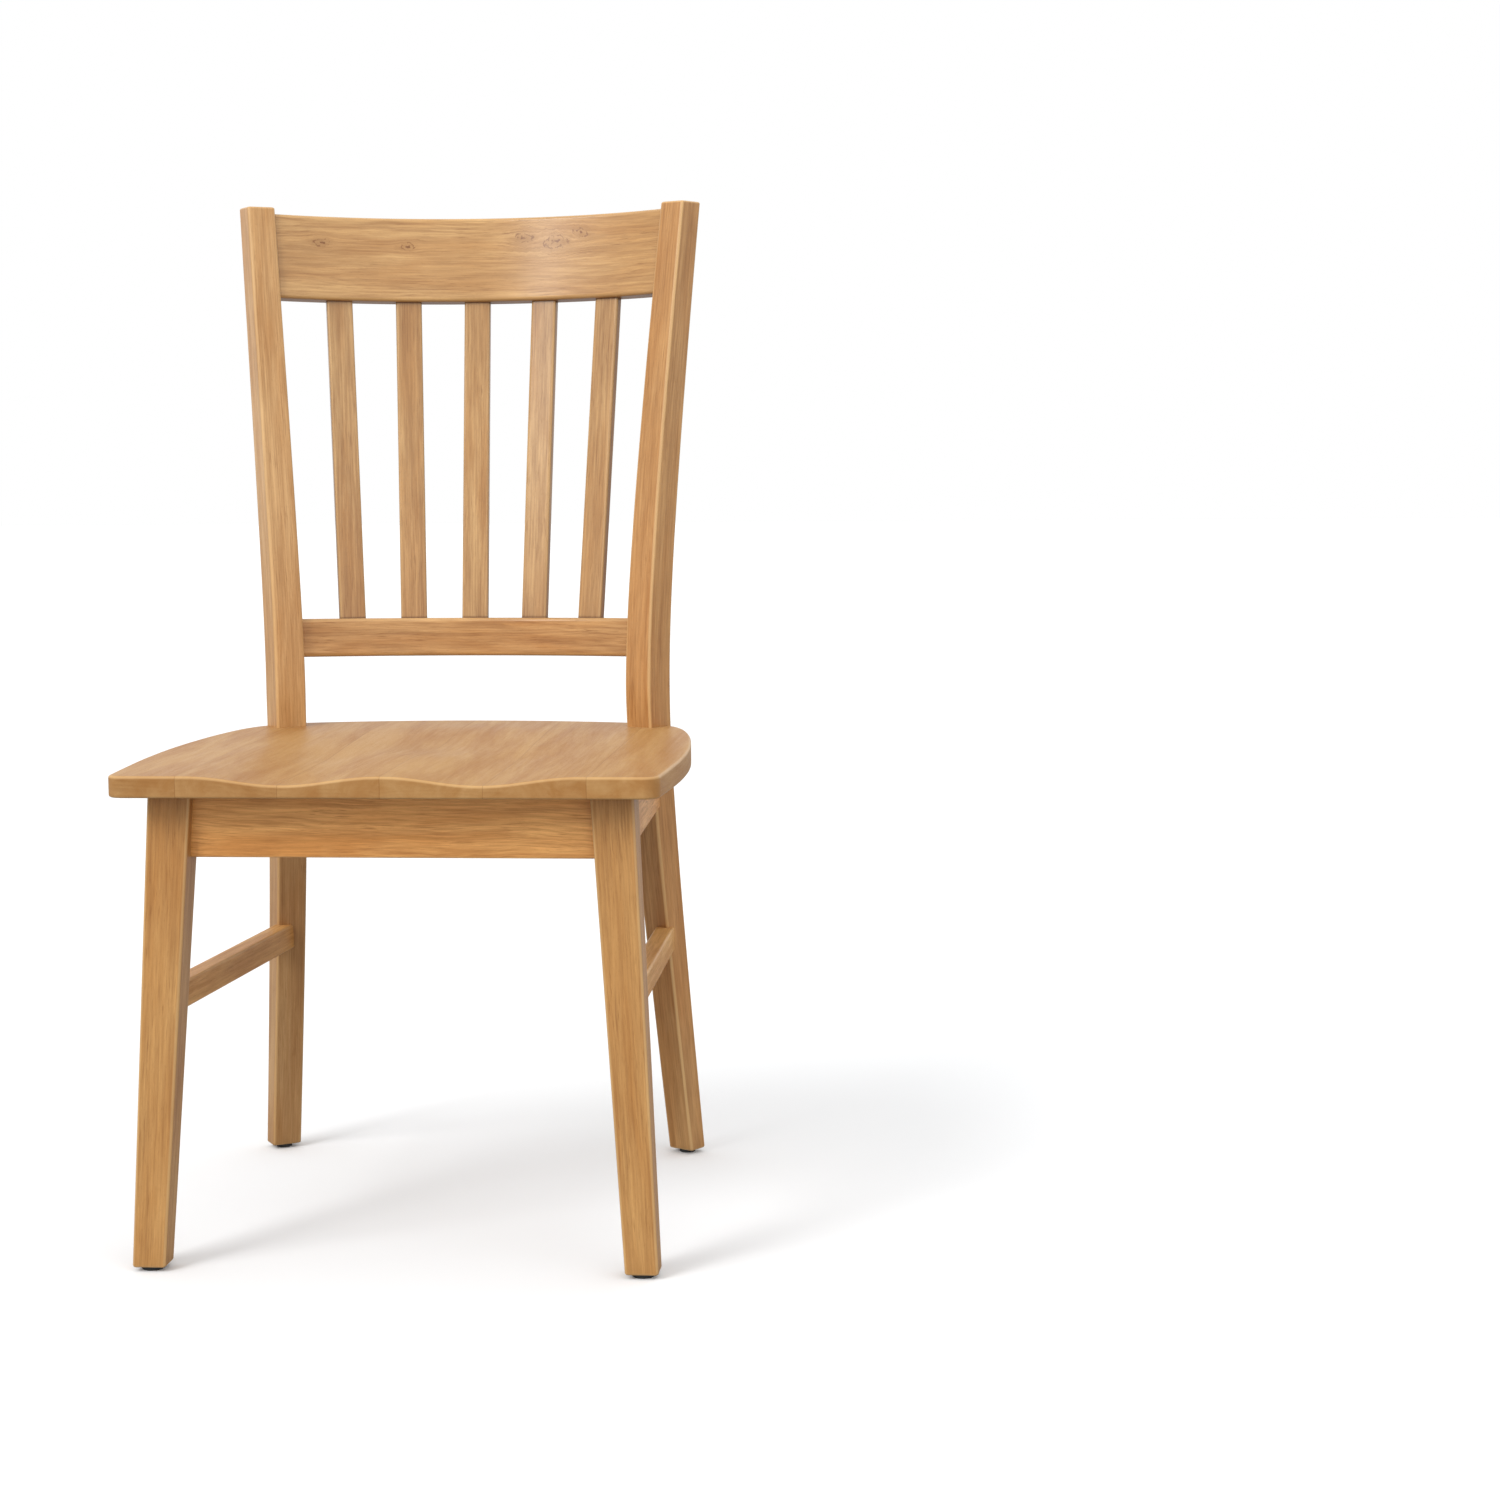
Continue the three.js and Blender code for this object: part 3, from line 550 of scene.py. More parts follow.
# Lacquered oak: the figure group feeds the finish group, which feeds one Principled shader.
def makeOak(name, figure, boards=False):
    material, w, shader = newGlossy(name)
    grain = w.put("ShaderNodeAttribute", attribute_name="grain").outputs["Vector"]
    arris = w.put("ShaderNodeAttribute", attribute_name="arris").outputs["Fac"]
    figureNode = w.put("ShaderNodeGroup", node_tree=oakFigure)
    finishNode = w.put("ShaderNodeGroup", node_tree=oakFinish)
    knotMask = 0.0
    if boards:
        boardNode = w.put("ShaderNodeGroup", node_tree=gluedBoards)
        w.join(grain, boardNode.inputs["Grain Place"])
        boardNode.inputs["Board Width"].default_value = figure["boardWidth"]
        grain = boardNode.outputs["Board Grain"]
    for centre, size in figure.get("knots", ()):
        eyeNode = w.put("ShaderNodeGroup", node_tree=knotEye)
        w.join(grain, eyeNode.inputs["Grain Place"])
        setInputs(eyeNode, Centre=centre, Size=size)
        grain, eye = eyeNode.outputs["Bent Place"], eyeNode.outputs["Eye"]
        knotMask = w.maths("MAXIMUM", knotMask, eye)
    w.feed(finishNode.inputs["Knot"], knotMask)
    w.join(grain, figureNode.inputs["Grain Place"])
    for key, label in (
        ("pithAway", "Pith Away"), ("pithTilt", "Pith Tilt"),
        ("ringWidth", "Ring Width"), ("waviness", "Waviness"),
    ):
        if key in figure:
            figureNode.inputs[label].default_value = figure[key]
    for label in figureMasks:
        w.join(figureNode.outputs[label], finishNode.inputs[label])
    # the piece's edge weight scales how pale its arrises are painted: partly wear, partly painted highlight
    w.join(w.times(arris, figure.get("edgeWearAndHighlight", 1.0)), finishNode.inputs["Arris"])
    for label in ("joint", "shade"):
        mask = w.put("ShaderNodeAttribute", attribute_name=label).outputs["Fac"]
        w.join(mask, finishNode.inputs[label.title()])
    setInputs(finishNode, Mottle=figure["mottle"], Contrast=figure["contrast"], Gloss=figure["gloss"])
    for key, label in (("pale", "Pale"), ("honey", "Honey"), ("dark", "Dark")):
        tone = [a * b for a, b in zip(oakTones[key], figure["tint"])] + [1]
        finishNode.inputs[label].default_value = tone
    colour, relief = finishNode.outputs["Colour"], finishNode.outputs["Relief"]
    if boards:
        glueLine = boardNode.outputs["Glue Line"]
        tone = w.remap(boardNode.outputs["Board Tone"], 0.0, 1.0, 0.0, oakTones["boardShade"])
        colour = w.blend(tone, colour, oakTones["honey"] + (1,), "MULTIPLY")
        colour = w.blend(w.times(glueLine, oakTones["glueShade"]), colour, oakTones["dark"] + (1,))
        relief = w.minus(relief, glueLine)
    w.paint(shader, colour, finishNode.outputs["Roughness"])
    w.relief(relief, shader, oakTones["reliefStrength"], oakTones["reliefDistance"])
    shader.inputs["Specular IOR Level"].default_value = figure.get("specular", oakTones["specular"])
    shader.inputs["Coat Weight"].default_value = figure.get("coatWeight", oakTones["coatWeight"])
    shader.inputs["Coat Roughness"].default_value = oakTones["coatRoughness"]
    return material


postFigure = {
    "pithAway": (0.03, 0.045, 0), "pithTilt": 0.03, "ringWidth": 0.0028, "gloss": 0.36, "mottle": 0.9,
}
figures = {
    # the posts are lit and shaded copies of one oak: the left post's tint is painted lighter and the right
    # post's darker, for how each front face turns to the light, and the right post's arrises get a stronger
    # painted highlight
    "postRight": dict(postFigure, contrast=0.66, edgeWearAndHighlight=2.4, tint=(1.04, 0.99, 0.88)),
    "postLeft": dict(postFigure, contrast=0.62, edgeWearAndHighlight=1.4, tint=(1.16, 1.22, 1.24)),
    "leg": {
        "pithAway": (-0.035, 0.05, 0), "pithTilt": 0.025, "ringWidth": 0.003, "contrast": 0.64, "gloss": 0.38,
        "mottle": 0.9, "edgeWearAndHighlight": 1.7, "tint": (0.98, 0.92, 0.72),
    },
    "stretcher": {
        "pithAway": (0.02, 0.05, 0), "pithTilt": 0.02, "ringWidth": 0.003, "contrast": 0.55, "gloss": 0.42,
        "mottle": 0.9, "specular": 0.12, "coatWeight": 0.05, "tint": (1.25, 1.20, 0.95),
    },
    "crest": {
        "pithAway": (0.075, 0.02, 0), "pithTilt": 0.05, "ringWidth": 0.0036, "waviness": 0.010,
        "contrast": 0.72, "gloss": 0.34, "mottle": 0.8, "coatWeight": 0.5, "tint": (1.06, 1.09, 0.98),
        "knots": (
            ((0.03, 0.022, 0.452), 0.0050), ((0.03, 0.017, 0.488), 0.0066), ((0.03, 0.024, 0.515), 0.0042),
            ((0.03, 0.014, 0.325), 0.0036), ((0.03, 0.016, 0.232), 0.0038),
        ),
    },
    "lowerRail": {
        "pithAway": (0.06, 0.01, 0), "pithTilt": 0.04, "ringWidth": 0.004, "contrast": 0.85, "gloss": 0.34,
        "waviness": 0.009, "mottle": 1.2, "coatWeight": 0.3, "tint": (1.04, 1.02, 0.93),
    },
    "slat": {
        "pithAway": (0.01, 0.06, 0), "pithTilt": 0.03, "ringWidth": 0.003, "contrast": 0.80, "gloss": 0.34,
        "mottle": 1.0, "coatWeight": 0.5, "edgeWearAndHighlight": 1.5, "tint": (1.03, 1.09, 1.06),
    },
    "apron": {
        "pithAway": (0.07, 0.015, 0), "pithTilt": 0.09, "ringWidth": 0.0052, "waviness": 0.014,
        "contrast": 0.80, "gloss": 0.40, "mottle": 1.1, "tint": (1.50, 1.35, 1.01),
    },
    "seat": {
        "pithAway": (0.01, 0.055, 0), "pithTilt": 0.02, "ringWidth": 0.0046, "contrast": 0.07, "gloss": 0.40,
        "edgeWearAndHighlight": 1.5, "specular": 0.15, "coatWeight": 0.03, "boardWidth": 0.0931, "mottle": 1.0,
        "tint": (0.85, 0.84, 0.74),
    },
}
oakPosts = {
    "right": makeOak("oak_post_right_painted_shade", figures["postRight"]),
    "left": makeOak("oak_post_left_painted_light", figures["postLeft"]),
}
oakLeg = makeOak("oak_leg", figures["leg"])
oakStretcher = makeOak("oak_stretcher", figures["stretcher"])
oakCrest = makeOak("oak_crest", figures["crest"])
oakLowerRail = makeOak("oak_lower_rail", figures["lowerRail"])
oakSlat = makeOak("oak_slat", figures["slat"])
oakApron = makeOak("oak_apron", figures["apron"])
oakSeat = makeOak("oak_seat_boards", figures["seat"], boards=True)
print("materials made")

# rear posts
postValues = {
    "waistInset": 0.0665, "waistFromSeatFront": 0.4365, "waistZ": 0.504, "turn": math.radians(32),
    "splayTop": 0.033, "leanTop": 0.058, "splayFoot": 0.030, "rakeFoot": 0.065,
    "splayEase": 0.2, "leanEase": 0.4, "rakeEase": 0.04,
    "topSection": (0.0295, 0.031), "waistSection": (0.0325, 0.0365), "footSection": (0.0315, 0.024),
    "span": (woodFoot, topZ), "stations": 90, "edgeRadius": 0.0030, "endRadius": (0.0022, 0.0022),
}
# the left post gets painted shade low down, below the seat that shades it
postSides = {
    "right": {"board": (0.11, 0.02, 1.3), "paintedShadeLow": 0},
    "left": {"board": (0.53, -0.02, 4.1), "paintedShadeLow": 0.30},
}
halfSeat = 0.2575


# total * b(reach) / b(run), with b(r) = r * r / (r + ease).
def eased(reach, run, total, ease):
    return total * (reach**2 / (reach + ease)) / (run**2 / (run + ease))


# Waist point plus an eased splay to the side and an eased lean back, above and below.
def postCentre(z):
    p = postValues
    rise = np.maximum(z - p["waistZ"], 0)
    drop = np.maximum(p["waistZ"] - z, 0)
    up, down = topZ - p["waistZ"], p["waistZ"] - woodFoot
    x = halfSeat - p["waistInset"] + eased(rise, up, p["splayTop"], p["splayEase"])
    x = x + eased(drop, down, p["splayFoot"], p["splayEase"])
    y = frontY + p["waistFromSeatFront"] + eased(rise, up, p["leanTop"], p["leanEase"])
    y = y + eased(drop, down, p["rakeFoot"], p["rakeEase"])
    return x, y


# Half width and half depth, straight lines from foot to waist and from waist to top.
def postHalf(z):
    p = postValues
    levels = [woodFoot, p["waistZ"], topZ]
    widths, depths = zip(p["footSection"], p["waistSection"], p["topSection"])
    return np.interp(z, levels, widths) / 2, np.interp(z, levels, depths) / 2


# The centre line, with across and out turned inwards about the vertical.
def postPath(z):
    x, y = postCentre(z)
    turn = postValues["turn"]
    across = steady((math.cos(turn), -math.sin(turn), 0), z)
    out = steady((math.sin(turn), math.cos(turn), 0), z)
    return np.stack([x, y, z], -1), across, out


# A point of the right post.
def postPoint(u, v, z):
    return pointAt(postPath, postHalf, u, v, z)


for sideName, side in sides.items():
    values = dict(postValues, **postSides[sideName])
    carve(f"back_post_{sideName}", mirrorAcross(postPath, side), postHalf, values, oakPosts[sideName],
          [f"rear_post_{sideName}"])
print("rear posts made")

# front legs
legValues = {
    "topSize": (0.040, 0.038), "footSize": (0.031, 0.0295), "topInset": 0.054, "frontInset": 0.058,
    "splaySide": 0.025, "splayFront": 0.025,
    "span": (woodFoot, frameTop), "stations": 40, "edgeRadius": 0.0028, "endRadius": (0.0024, 0.0004),
}
legBoards = {"right": (0.31, 0.01, 2.2), "left": (0.87, 0.01, 6.7)}


# Straight line: the foot is splayed out and forward from the top.
def legPath(z):
    t = (frameTop - z) / (frameTop - woodFoot)
    x = halfSeat - legValues["topInset"] + legValues["splaySide"] * t
    y = frontY + legValues["frontInset"] - legValues["splayFront"] * t
    return np.stack([x, y, z], -1), steady((1, 0, 0), z), steady((0, 1, 0), z)


# Half width and half depth, straight lines from top to foot.
def legHalf(z):
    t = (frameTop - z) / (frameTop - woodFoot)
    top, foot = legValues["topSize"], legValues["footSize"]
    return (top[0] + (foot[0] - top[0]) * t) / 2, (top[1] + (foot[1] - top[1]) * t) / 2


# A point of the right leg.
def legPoint(u, v, z):
    return pointAt(legPath, legHalf, u, v, z)


for sideName, side in sides.items():
    values = dict(legValues, board=legBoards[sideName])
    carve(f"leg_front_{sideName}", mirrorAcross(legPath, side), legHalf, values, oakLeg,
          [f"front_leg_{sideName}"])
print("front legs made")

# curved back rails and slats
# the back rails' faces that look down get painted shade, standing in for the shade under the crest and lower
# rail
railValues = {
    "thickness": 0.020, "edgeRadius": 0.0038, "stations": 70, "endRadius": (0.0004, 0.0004), "tuck": 0.003,
    "paintedShadeOnFaces": (0, 0.55),
}
crestValues = {"height": 0.0895, "belowTop": 0.007, "sag": 0.003, "board": (0.02, 0.0, 0.4)}
lowerRailValues = {"height": 0.040, "middleZ": 0.558, "sag": 0.002, "board": (0.4, 0.03, 2.9)}


# Arc through both posts' inner faces, square to them, leaning as the posts lean, and
# lower at the middle by sag * (1 - (s / shoulder)^2).
def curvedRail(middleZ, height, sag):
    end = postPoint(-1, 0, middleZ)
    radius = end[0] / math.sin(postValues["turn"])
    centreY = end[1] - radius * math.cos(postValues["turn"])
    shoulder = radius * postValues["turn"]
    reach = 0.001  # the lean is measured over this much height each way
    high = postCentre(np.array([middleZ + reach]))[1][0]
    low = postCentre(np.array([middleZ - reach]))[1][0]
    lean = math.atan((high - low) / (2 * reach))

    def path(s):
        angle = s / radius
        outward = np.stack([np.sin(angle), np.cos(angle), 0 * angle], -1)
        start = outward * radius + np.array([0, centreY, middleZ])
        across = outward * math.cos(lean) + np.array([0, 0, -math.sin(lean)])
        rise = outward * math.sin(lean) + np.array([0, 0, math.cos(lean)])
        drop = sag * (1 - (s / shoulder) ** 2)
        return start - rise * drop[:, None], across, rise

    return {"path": path, "radius": radius, "height": height, "shoulder": shoulder}


crestZ = topZ - crestValues["belowTop"] - crestValues["height"] / 2
crest = curvedRail(crestZ, crestValues["height"], crestValues["sag"])
lowerRail = curvedRail(lowerRailValues["middleZ"], lowerRailValues["height"], lowerRailValues["sag"])
for label, rail, material, node, board in (
    ("crest", crest, oakCrest, "crest_rail", crestValues["board"]),
    ("lower_rail", lowerRail, oakLowerRail, "lower_back_rail", lowerRailValues["board"]),
):
    reach = rail["shoulder"] + railValues["tuck"]
    values = dict(railValues, span=(-reach, reach), board=board)
    carve(label, rail["path"], evenHalf(railValues["thickness"], rail["height"]), values, material, [node])

# the slats' side faces get painted shade where the posts and neighbouring slats shade them; the slats are
# also darker toward both ends, partly painted shade and partly finish built up
slatValues = {
    "width": 0.0275, "thickness": 0.010, "angle": math.radians(11), "count": 5, "edgeRadius": 0.0026,
    "stations": 40, "endRadius": (0.0003, 0.0003), "tuck": 0.0035, "paintedShadeOnFaces": (0.5, 0),
    "paintedShadeAndFinishAtEnds": 0.18, "firstBoard": (0.05, 0, 0.3), "nextBoard": (0.17, 0.013, 1.1),
}


# Straight from one rail's curve to the other's at the same angle, facing out along the radius.
def makeSlat(number):
    p = slatValues
    angle = (number - (p["count"] - 1) / 2) * p["angle"]
    start = lowerRail["path"](np.array([angle * lowerRail["radius"]]))[0][0]
    end = crest["path"](np.array([angle * crest["radius"]]))[0][0]
    axis = unit(end - start)
    length = float(np.linalg.norm(end - start))
    outward = np.array([math.sin(angle), math.cos(angle), 0])
    out = unit(outward - axis * outward.dot(axis))
    across = np.cross(out, axis)

    def path(s):
        return start + s[:, None] * axis, steady(across, s), steady(out, s)

    span = (lowerRail["height"] / 2 - p["tuck"], length - crest["height"] / 2 + p["tuck"])
    board = np.array(p["firstBoard"]) + number * np.array(p["nextBoard"])
    carve(f"back_slat_{number + 1}", path, evenHalf(p["width"], p["thickness"]),
          dict(p, span=span, board=board), oakSlat, [f"slat_{number + 1}"])


for number in range(slatValues["count"]):
    makeSlat(number)
print("back made")

# straight rails below the seat
apronValues = {
    "height": 0.060, "thickness": 0.018, "inset": 0.0125, "rearFromSeatFront": 0.453,
    "endInset": {"front": 0.006, "rear": 0.004}, "crossTrim": 0.004, "sideTrim": 0.010,
    "edgeRadius": 0.0020, "stations": 30, "endRadius": (0.0003, 0.0003),
}
apronBoards = {
    "front": (0.05, 0.0, 0.9), "rear": (0.35, 0.02, 3.9), "right": (0.2, 0.01, 0.6), "left": (0.2, 0.01, 1.9),
}
# the stretchers' faces that look down get painted shade
stretcherValues = {
    "width": 0.020, "height": 0.026, "frontZ": 0.249, "rearZ": 0.239, "trim": 0.010,
    "edgeRadius": 0.0026, "stations": 30, "endRadius": (0.0003, 0.0003), "paintedShadeOnFaces": (0, 0.3),
}
stretcherBoards = {"right": (0.6, 0.04, 2.6), "left": (0.6, 0.04, 3.9)}
apronZ = frameTop - apronValues["height"] / 2


# A straight bar from start to end, shorter by trim at each, with its height upward.
def straightRail(label, start, end, size, trim, values, material, node, board):
    axis = unit(end - start)
    length = float(np.linalg.norm(end - start))
    up = np.array([0, 0, 1.0])
    up = unit(up - axis * up.dot(axis))
    sideways = np.cross(up, axis)

    def path(s):
        return start + s[:, None] * axis, steady(sideways, s), steady(up, s)

    values = dict(values, span=(trim, length - trim), board=board)
    carve(label, path, evenHalf(*size), values, material, [node])


mirrorX = np.array([-1, 1, 1])
legMiddle, postMiddle = legPoint(0, 0, apronZ), postPoint(0, 0, apronZ)
apronPlaces = {
    "front": (legMiddle[0], legPoint(0, -1, apronZ)[1] + apronValues["inset"] + apronValues["thickness"] / 2),
    "rear": (postMiddle[0], frontY + apronValues["rearFromSeatFront"]),
}
apronSize = (apronValues["thickness"], apronValues["height"])
stretcherSize = (stretcherValues["width"], stretcherValues["height"])
for place, (endX, y) in apronPlaces.items():
    end = np.array([endX - apronValues["endInset"][place], y, apronZ])
    straightRail(f"apron_{place}", end * mirrorX, end, apronSize, apronValues["crossTrim"], apronValues,
                 oakApron, f"{place}_apron", apronBoards[place])
for sideName, side in sides.items():
    flip = np.array([side, 1, 1])
    straightRail(f"apron_{sideName}", legMiddle * flip, postMiddle * flip, apronSize,
                 apronValues["sideTrim"], apronValues, oakApron, f"side_apron_{sideName}",
                 apronBoards[sideName])
    straightRail(f"stretcher_{sideName}", legPoint(0, 0, stretcherValues["frontZ"]) * flip,
                 postPoint(0, 0, stretcherValues["rearZ"]) * flip, stretcherSize, stretcherValues["trim"],
                 stretcherValues, oakStretcher, f"side_stretcher_{sideName}", stretcherBoards[sideName])
print("frame below the seat made")

# seat
seatValues = {
    "depth": 0.496, "thickness": 0.020, "backRise": 0.005, "rimTop": 0.0028, "rimBottom": 0.0022,
    "rimEndGrainAndPaintedLight": (0.21, 0.06), "rimAlongGrain": 0.35, "rimEdge": 0.4,
    "hollowDepth": 0.008, "hollowSpacing": 0.180, "hollowWidth": 0.088, "hollowBack": 0.298,
    "fadeBefore": 0.110, "fadeLength": 0.150,
    "bowlDepth": 0.006, "bowlPlace": 0.283, "bowlHalfLength": 0.150, "bowlHalfWidth": 0.215,
    "corner": 0.016, "backBow": 0.026,
    "backEndAtPost": (-1.45, 1.1), "notchOuter": (1, 0.75), "notchInner": (-0.9, 0.75),
    "sideShape": ((0.07, 0.975), (0.27, 0.995), (0.47, 0.99), (0.66, 0.957), (0.79, 0.913), (0.86, 0.867)),
    "steps": {"front": 49, "corner": 14, "side": 12, "bridge": 8, "back": 40},
    "middleFromFront": 0.24, "topRings": 70, "firstRing": 0.015, "ringCrowding": 0.8, "rimSteps": 6,
    "sideRings": (0.06, 0.35, 0.65, 0.94), "underRings": (0.99, 0.9, 0.7, 0.45, 0.2, 0.05),
}
seatTopZ = seatUnder + seatValues["thickness"]
backEnd = postPoint(*seatValues["backEndAtPost"], seatTopZ)[:2]


# Catmull-Rom curve: between neighbours, a cubic whose end slopes are half the next chords.
def smoothThrough(points, steps):
    padded = np.concatenate([points[:1], points, points[-1:]])
    p0, p1, p2, p3 = padded[:-3], padded[1:-2], padded[2:-1], padded[3:]
    t = np.linspace(0, 1, steps, endpoint=False)[None, :, None]
    p0, p1, p2, p3 = (p[:, None] for p in (p0, p1, p2, p3))
    slope1, slope2 = (p2 - p0) / 2, (p3 - p1) / 2
    curve = (2 * t**3 - 3 * t**2 + 1) * p1 + (t**3 - 2 * t**2 + t) * slope1
    curve = curve + (3 * t**2 - 2 * t**3) * p2 + (t**3 - t**2) * slope2
    return np.concatenate([curve.reshape(-1, 2), points[-1:]])


# Straight front, quarter-circle corner, smooth side to the post, and a bowed back edge
# y = back - bow * (x / end)^2; the left half is the right one mirrored.
def seatOutline():
    p, steps = seatValues, seatValues["steps"]
    shape = np.array(p["sideShape"])
    side = np.stack([halfSeat * shape[:, 1], frontY + p["depth"] * shape[:, 0]], -1)
    cornerX, cornerY = side[0, 0] - p["corner"], frontY + p["corner"]
    a = np.linspace(-math.pi / 2, 0, steps["corner"], endpoint=False)
    corner = np.stack([cornerX + p["corner"] * np.cos(a), cornerY + p["corner"] * np.sin(a)], -1)
    outer = postPoint(*p["notchOuter"], seatTopZ)[:2]
    inner = postPoint(*p["notchInner"], seatTopZ)[:2]
    side = np.concatenate([[[cornerX + p["corner"], cornerY]], side[1:], [outer]])
    side = smoothThrough(side, steps["side"])
    bridge = outer + (inner - outer) * np.linspace(0, 1, steps["bridge"] + 1)[1:, None]
    backX = np.linspace(backEnd[0], 0, steps["back"] + 1)
    backY = backEnd[1] + p["backBow"] - p["backBow"] * (backX / backEnd[0]) ** 2
    frontX = np.linspace(0, cornerX, steps["front"], endpoint=False)
    front = np.stack([frontX, np.full(steps["front"], frontY)], -1)
    right = np.concatenate([front, corner, side, bridge, np.stack([backX, backY], -1)])
    left = right[-2:0:-1] * np.array([-1, 1])
    return np.array([0.0, frontY + p["middleFromFront"]]), np.concatenate([right, left])


# Cosine squared: 1 in the middle, 0 from r = 1 outward.
def dip(r):
    return np.where(r < 1, np.cos(np.minimum(r, 1) * math.pi / 2) ** 2, 0)


# Two thigh hollows, a dip across each, fading back by 3t^2 - 2t^3 into a round bowl; the two
# depths join as the root of their squares.
def hollow(x, y):
    p = seatValues
    t = np.clip((y - (frontY + p["hollowBack"] - p["fadeBefore"])) / p["fadeLength"], 0, 1)
    fade = t * t * (3 - 2 * t)
    fromHollow = np.abs(np.abs(x) - p["hollowSpacing"] / 2) / p["hollowWidth"]
    fromBowl = np.hypot(x / p["bowlHalfWidth"], (y - frontY - p["bowlPlace"]) / p["bowlHalfLength"])
    return np.hypot(p["hollowDepth"] * dip(fromHollow) * (1 - fade), p["bowlDepth"] * dip(fromBowl))


# Height of the top: level plus an even rise to the back, less the hollow.
def seatTop(x, y):
    p = seatValues
    return seatUnder + p["thickness"] + p["backRise"] * (y - frontY) / p["depth"] - hollow(x, y)


# Rings from the middle of the top, over the rounded rim, down the side and in under.
def makeSeat():
    p = seatValues
    middle, outline = seatOutline()
    tangent = np.roll(outline, -1, 0) - np.roll(outline, 1, 0)
    normal = unit(np.stack([tangent[:, 1], -tangent[:, 0]], -1))
    t = np.linspace(0, math.pi / 2, p["rimSteps"] + 1)
    plan, height, edge, endGrain = [], [], [], []
    cut = normal[:, 1] ** 2  # 1 where the rim is cut across the grain
    rimDark = p["rimAlongGrain"] + (1 - p["rimAlongGrain"]) * cut

    # each ring's arris value paints the edge paler, partly wear and partly painted highlight; rim sets its
    # end-grain darkening
    def ring(points, z, wearAndHighlight, rim=0.0):
        plan.append(points)
        height.append(z)
        edge.append(np.full(len(points), wearAndHighlight))
        endGrain.append(rim * rimDark)

    inner = outline - normal * p["rimTop"]
    for k in np.linspace(p["firstRing"], 1, p["topRings"]) ** p["ringCrowding"]:
        points = middle + (inner - middle) * k
        ring(points, seatTop(points[:, 0], points[:, 1]), 0)
    for a in t[1:]:
        points = outline - normal * p["rimTop"] * (1 - math.sin(a))
        z = seatTop(points[:, 0], points[:, 1]) - p["rimTop"] * (1 - math.cos(a))
        ring(points, z, math.sin(2 * a), math.sin(a) ** 3)
    rimZ = seatTop(outline[:, 0], outline[:, 1]) - p["rimTop"]
    lowZ = seatUnder + p["rimBottom"]
    for k in p["sideRings"]:
        ring(outline, rimZ + (lowZ - rimZ) * k, 0, 1)
    for a in t:
        points = outline - normal * p["rimBottom"] * (1 - math.cos(a))
        z = lowZ - p["rimBottom"] * math.sin(a)
        ring(points, np.full(len(points), z), p["rimEdge"] * math.sin(2 * a), 1)
    inner = outline - normal * p["rimBottom"]
    for k in p["underRings"]:
        points = middle + (inner - middle) * k
        ring(points, np.full(len(points), seatUnder), 0)
    rings = np.concatenate([np.array(plan), np.array(height)[..., None]], -1)
    piece = closedGrid(rings, "saddle_seat")
    points = np.concatenate([rings.reshape(-1, 3), rings[[0, -1]].mean(1)])
    writeAttribute(piece, "grain", points[:, [0, 2, 1]])
    writeMask(piece, "arris", edge)
    shade = np.concatenate([np.ravel(endGrain), [0, 0]])
    shade *= np.interp(points[:, 0], [-halfSeat, halfSeat], p["rimEndGrainAndPaintedLight"])  # painted light: the rim's end-grain darkening fades from left to right, so the right end is painted paler
    writeAttribute(piece, "shade", shade)
    finishPiece(piece, oakSeat, [f"seat_board_{i}" for i in range(1, 7)])


makeSeat()
print("seat made")


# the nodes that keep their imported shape: blocks, screws and glides
blockValues = {
    "dark": (0.34, 0.19, 0.08, 1), "pale": (0.56, 0.36, 0.18, 1), "fibres": (0.3, 0.7),
    "ring": (0.25, 0.12, 0.05, 1), "ringDark": 0.4, "sawn": (0.62, 0.44, 0.25, 1), "sawPale": 0.25,
    "sawScale": 160.0, "sawSqueeze": 9.0, "rough": (0.62, 0.82), "bump": (0.5, 0.0004),
}
screwValues = {
    "dark": (0.42, 0.42, 0.40, 1), "pale": (0.62, 0.60, 0.54, 1), "spots": (0.35, 0.7),
    "spotScale": 420.0, "rough": (0.26, 0.46),
}
glideValues = {
    "dark": (0.012, 0.012, 0.012, 1), "pale": (0.028, 0.027, 0.026, 1), "speckleScale": 900.0,
    "scuff": (0.10, 0.095, 0.09, 1), "scuffHeight": 0.0016, "scuffShare": 0.5, "scuffScale": 260.0,
    "rough": (0.45, 0.62), "bump": (0.4, 0.0001),
}


# Rough-sawn blocks: the oak figure laid along the block, with saw marks across it.
def makeSawnWood():
    p = blockValues
    material, w, shader = newGlossy("sawn_block_wood")
    x, y, z = place = w.split(w.put("ShaderNodeTexCoord").outputs["Object"])
    figure = w.put("ShaderNodeGroup", node_tree=oakFigure)
    w.join(w.merge(y, z, x), figure.inputs["Grain Place"])
    saw = w.streaks(place, p["sawSqueeze"], scale=p["sawScale"])
    base = w.blend(w.remap(figure.outputs["Fibres"], *p["fibres"]), p["dark"], p["pale"])
    base = w.blend(w.times(figure.outputs["Rings"], p["ringDark"]), base, p["ring"])
    base = w.blend(w.times(saw, p["sawPale"]), base, p["sawn"])
    w.paint(shader, base, w.remap(saw, 0.3, 0.7, *p["rough"]))
    w.relief(saw, shader, *p["bump"])
    return material


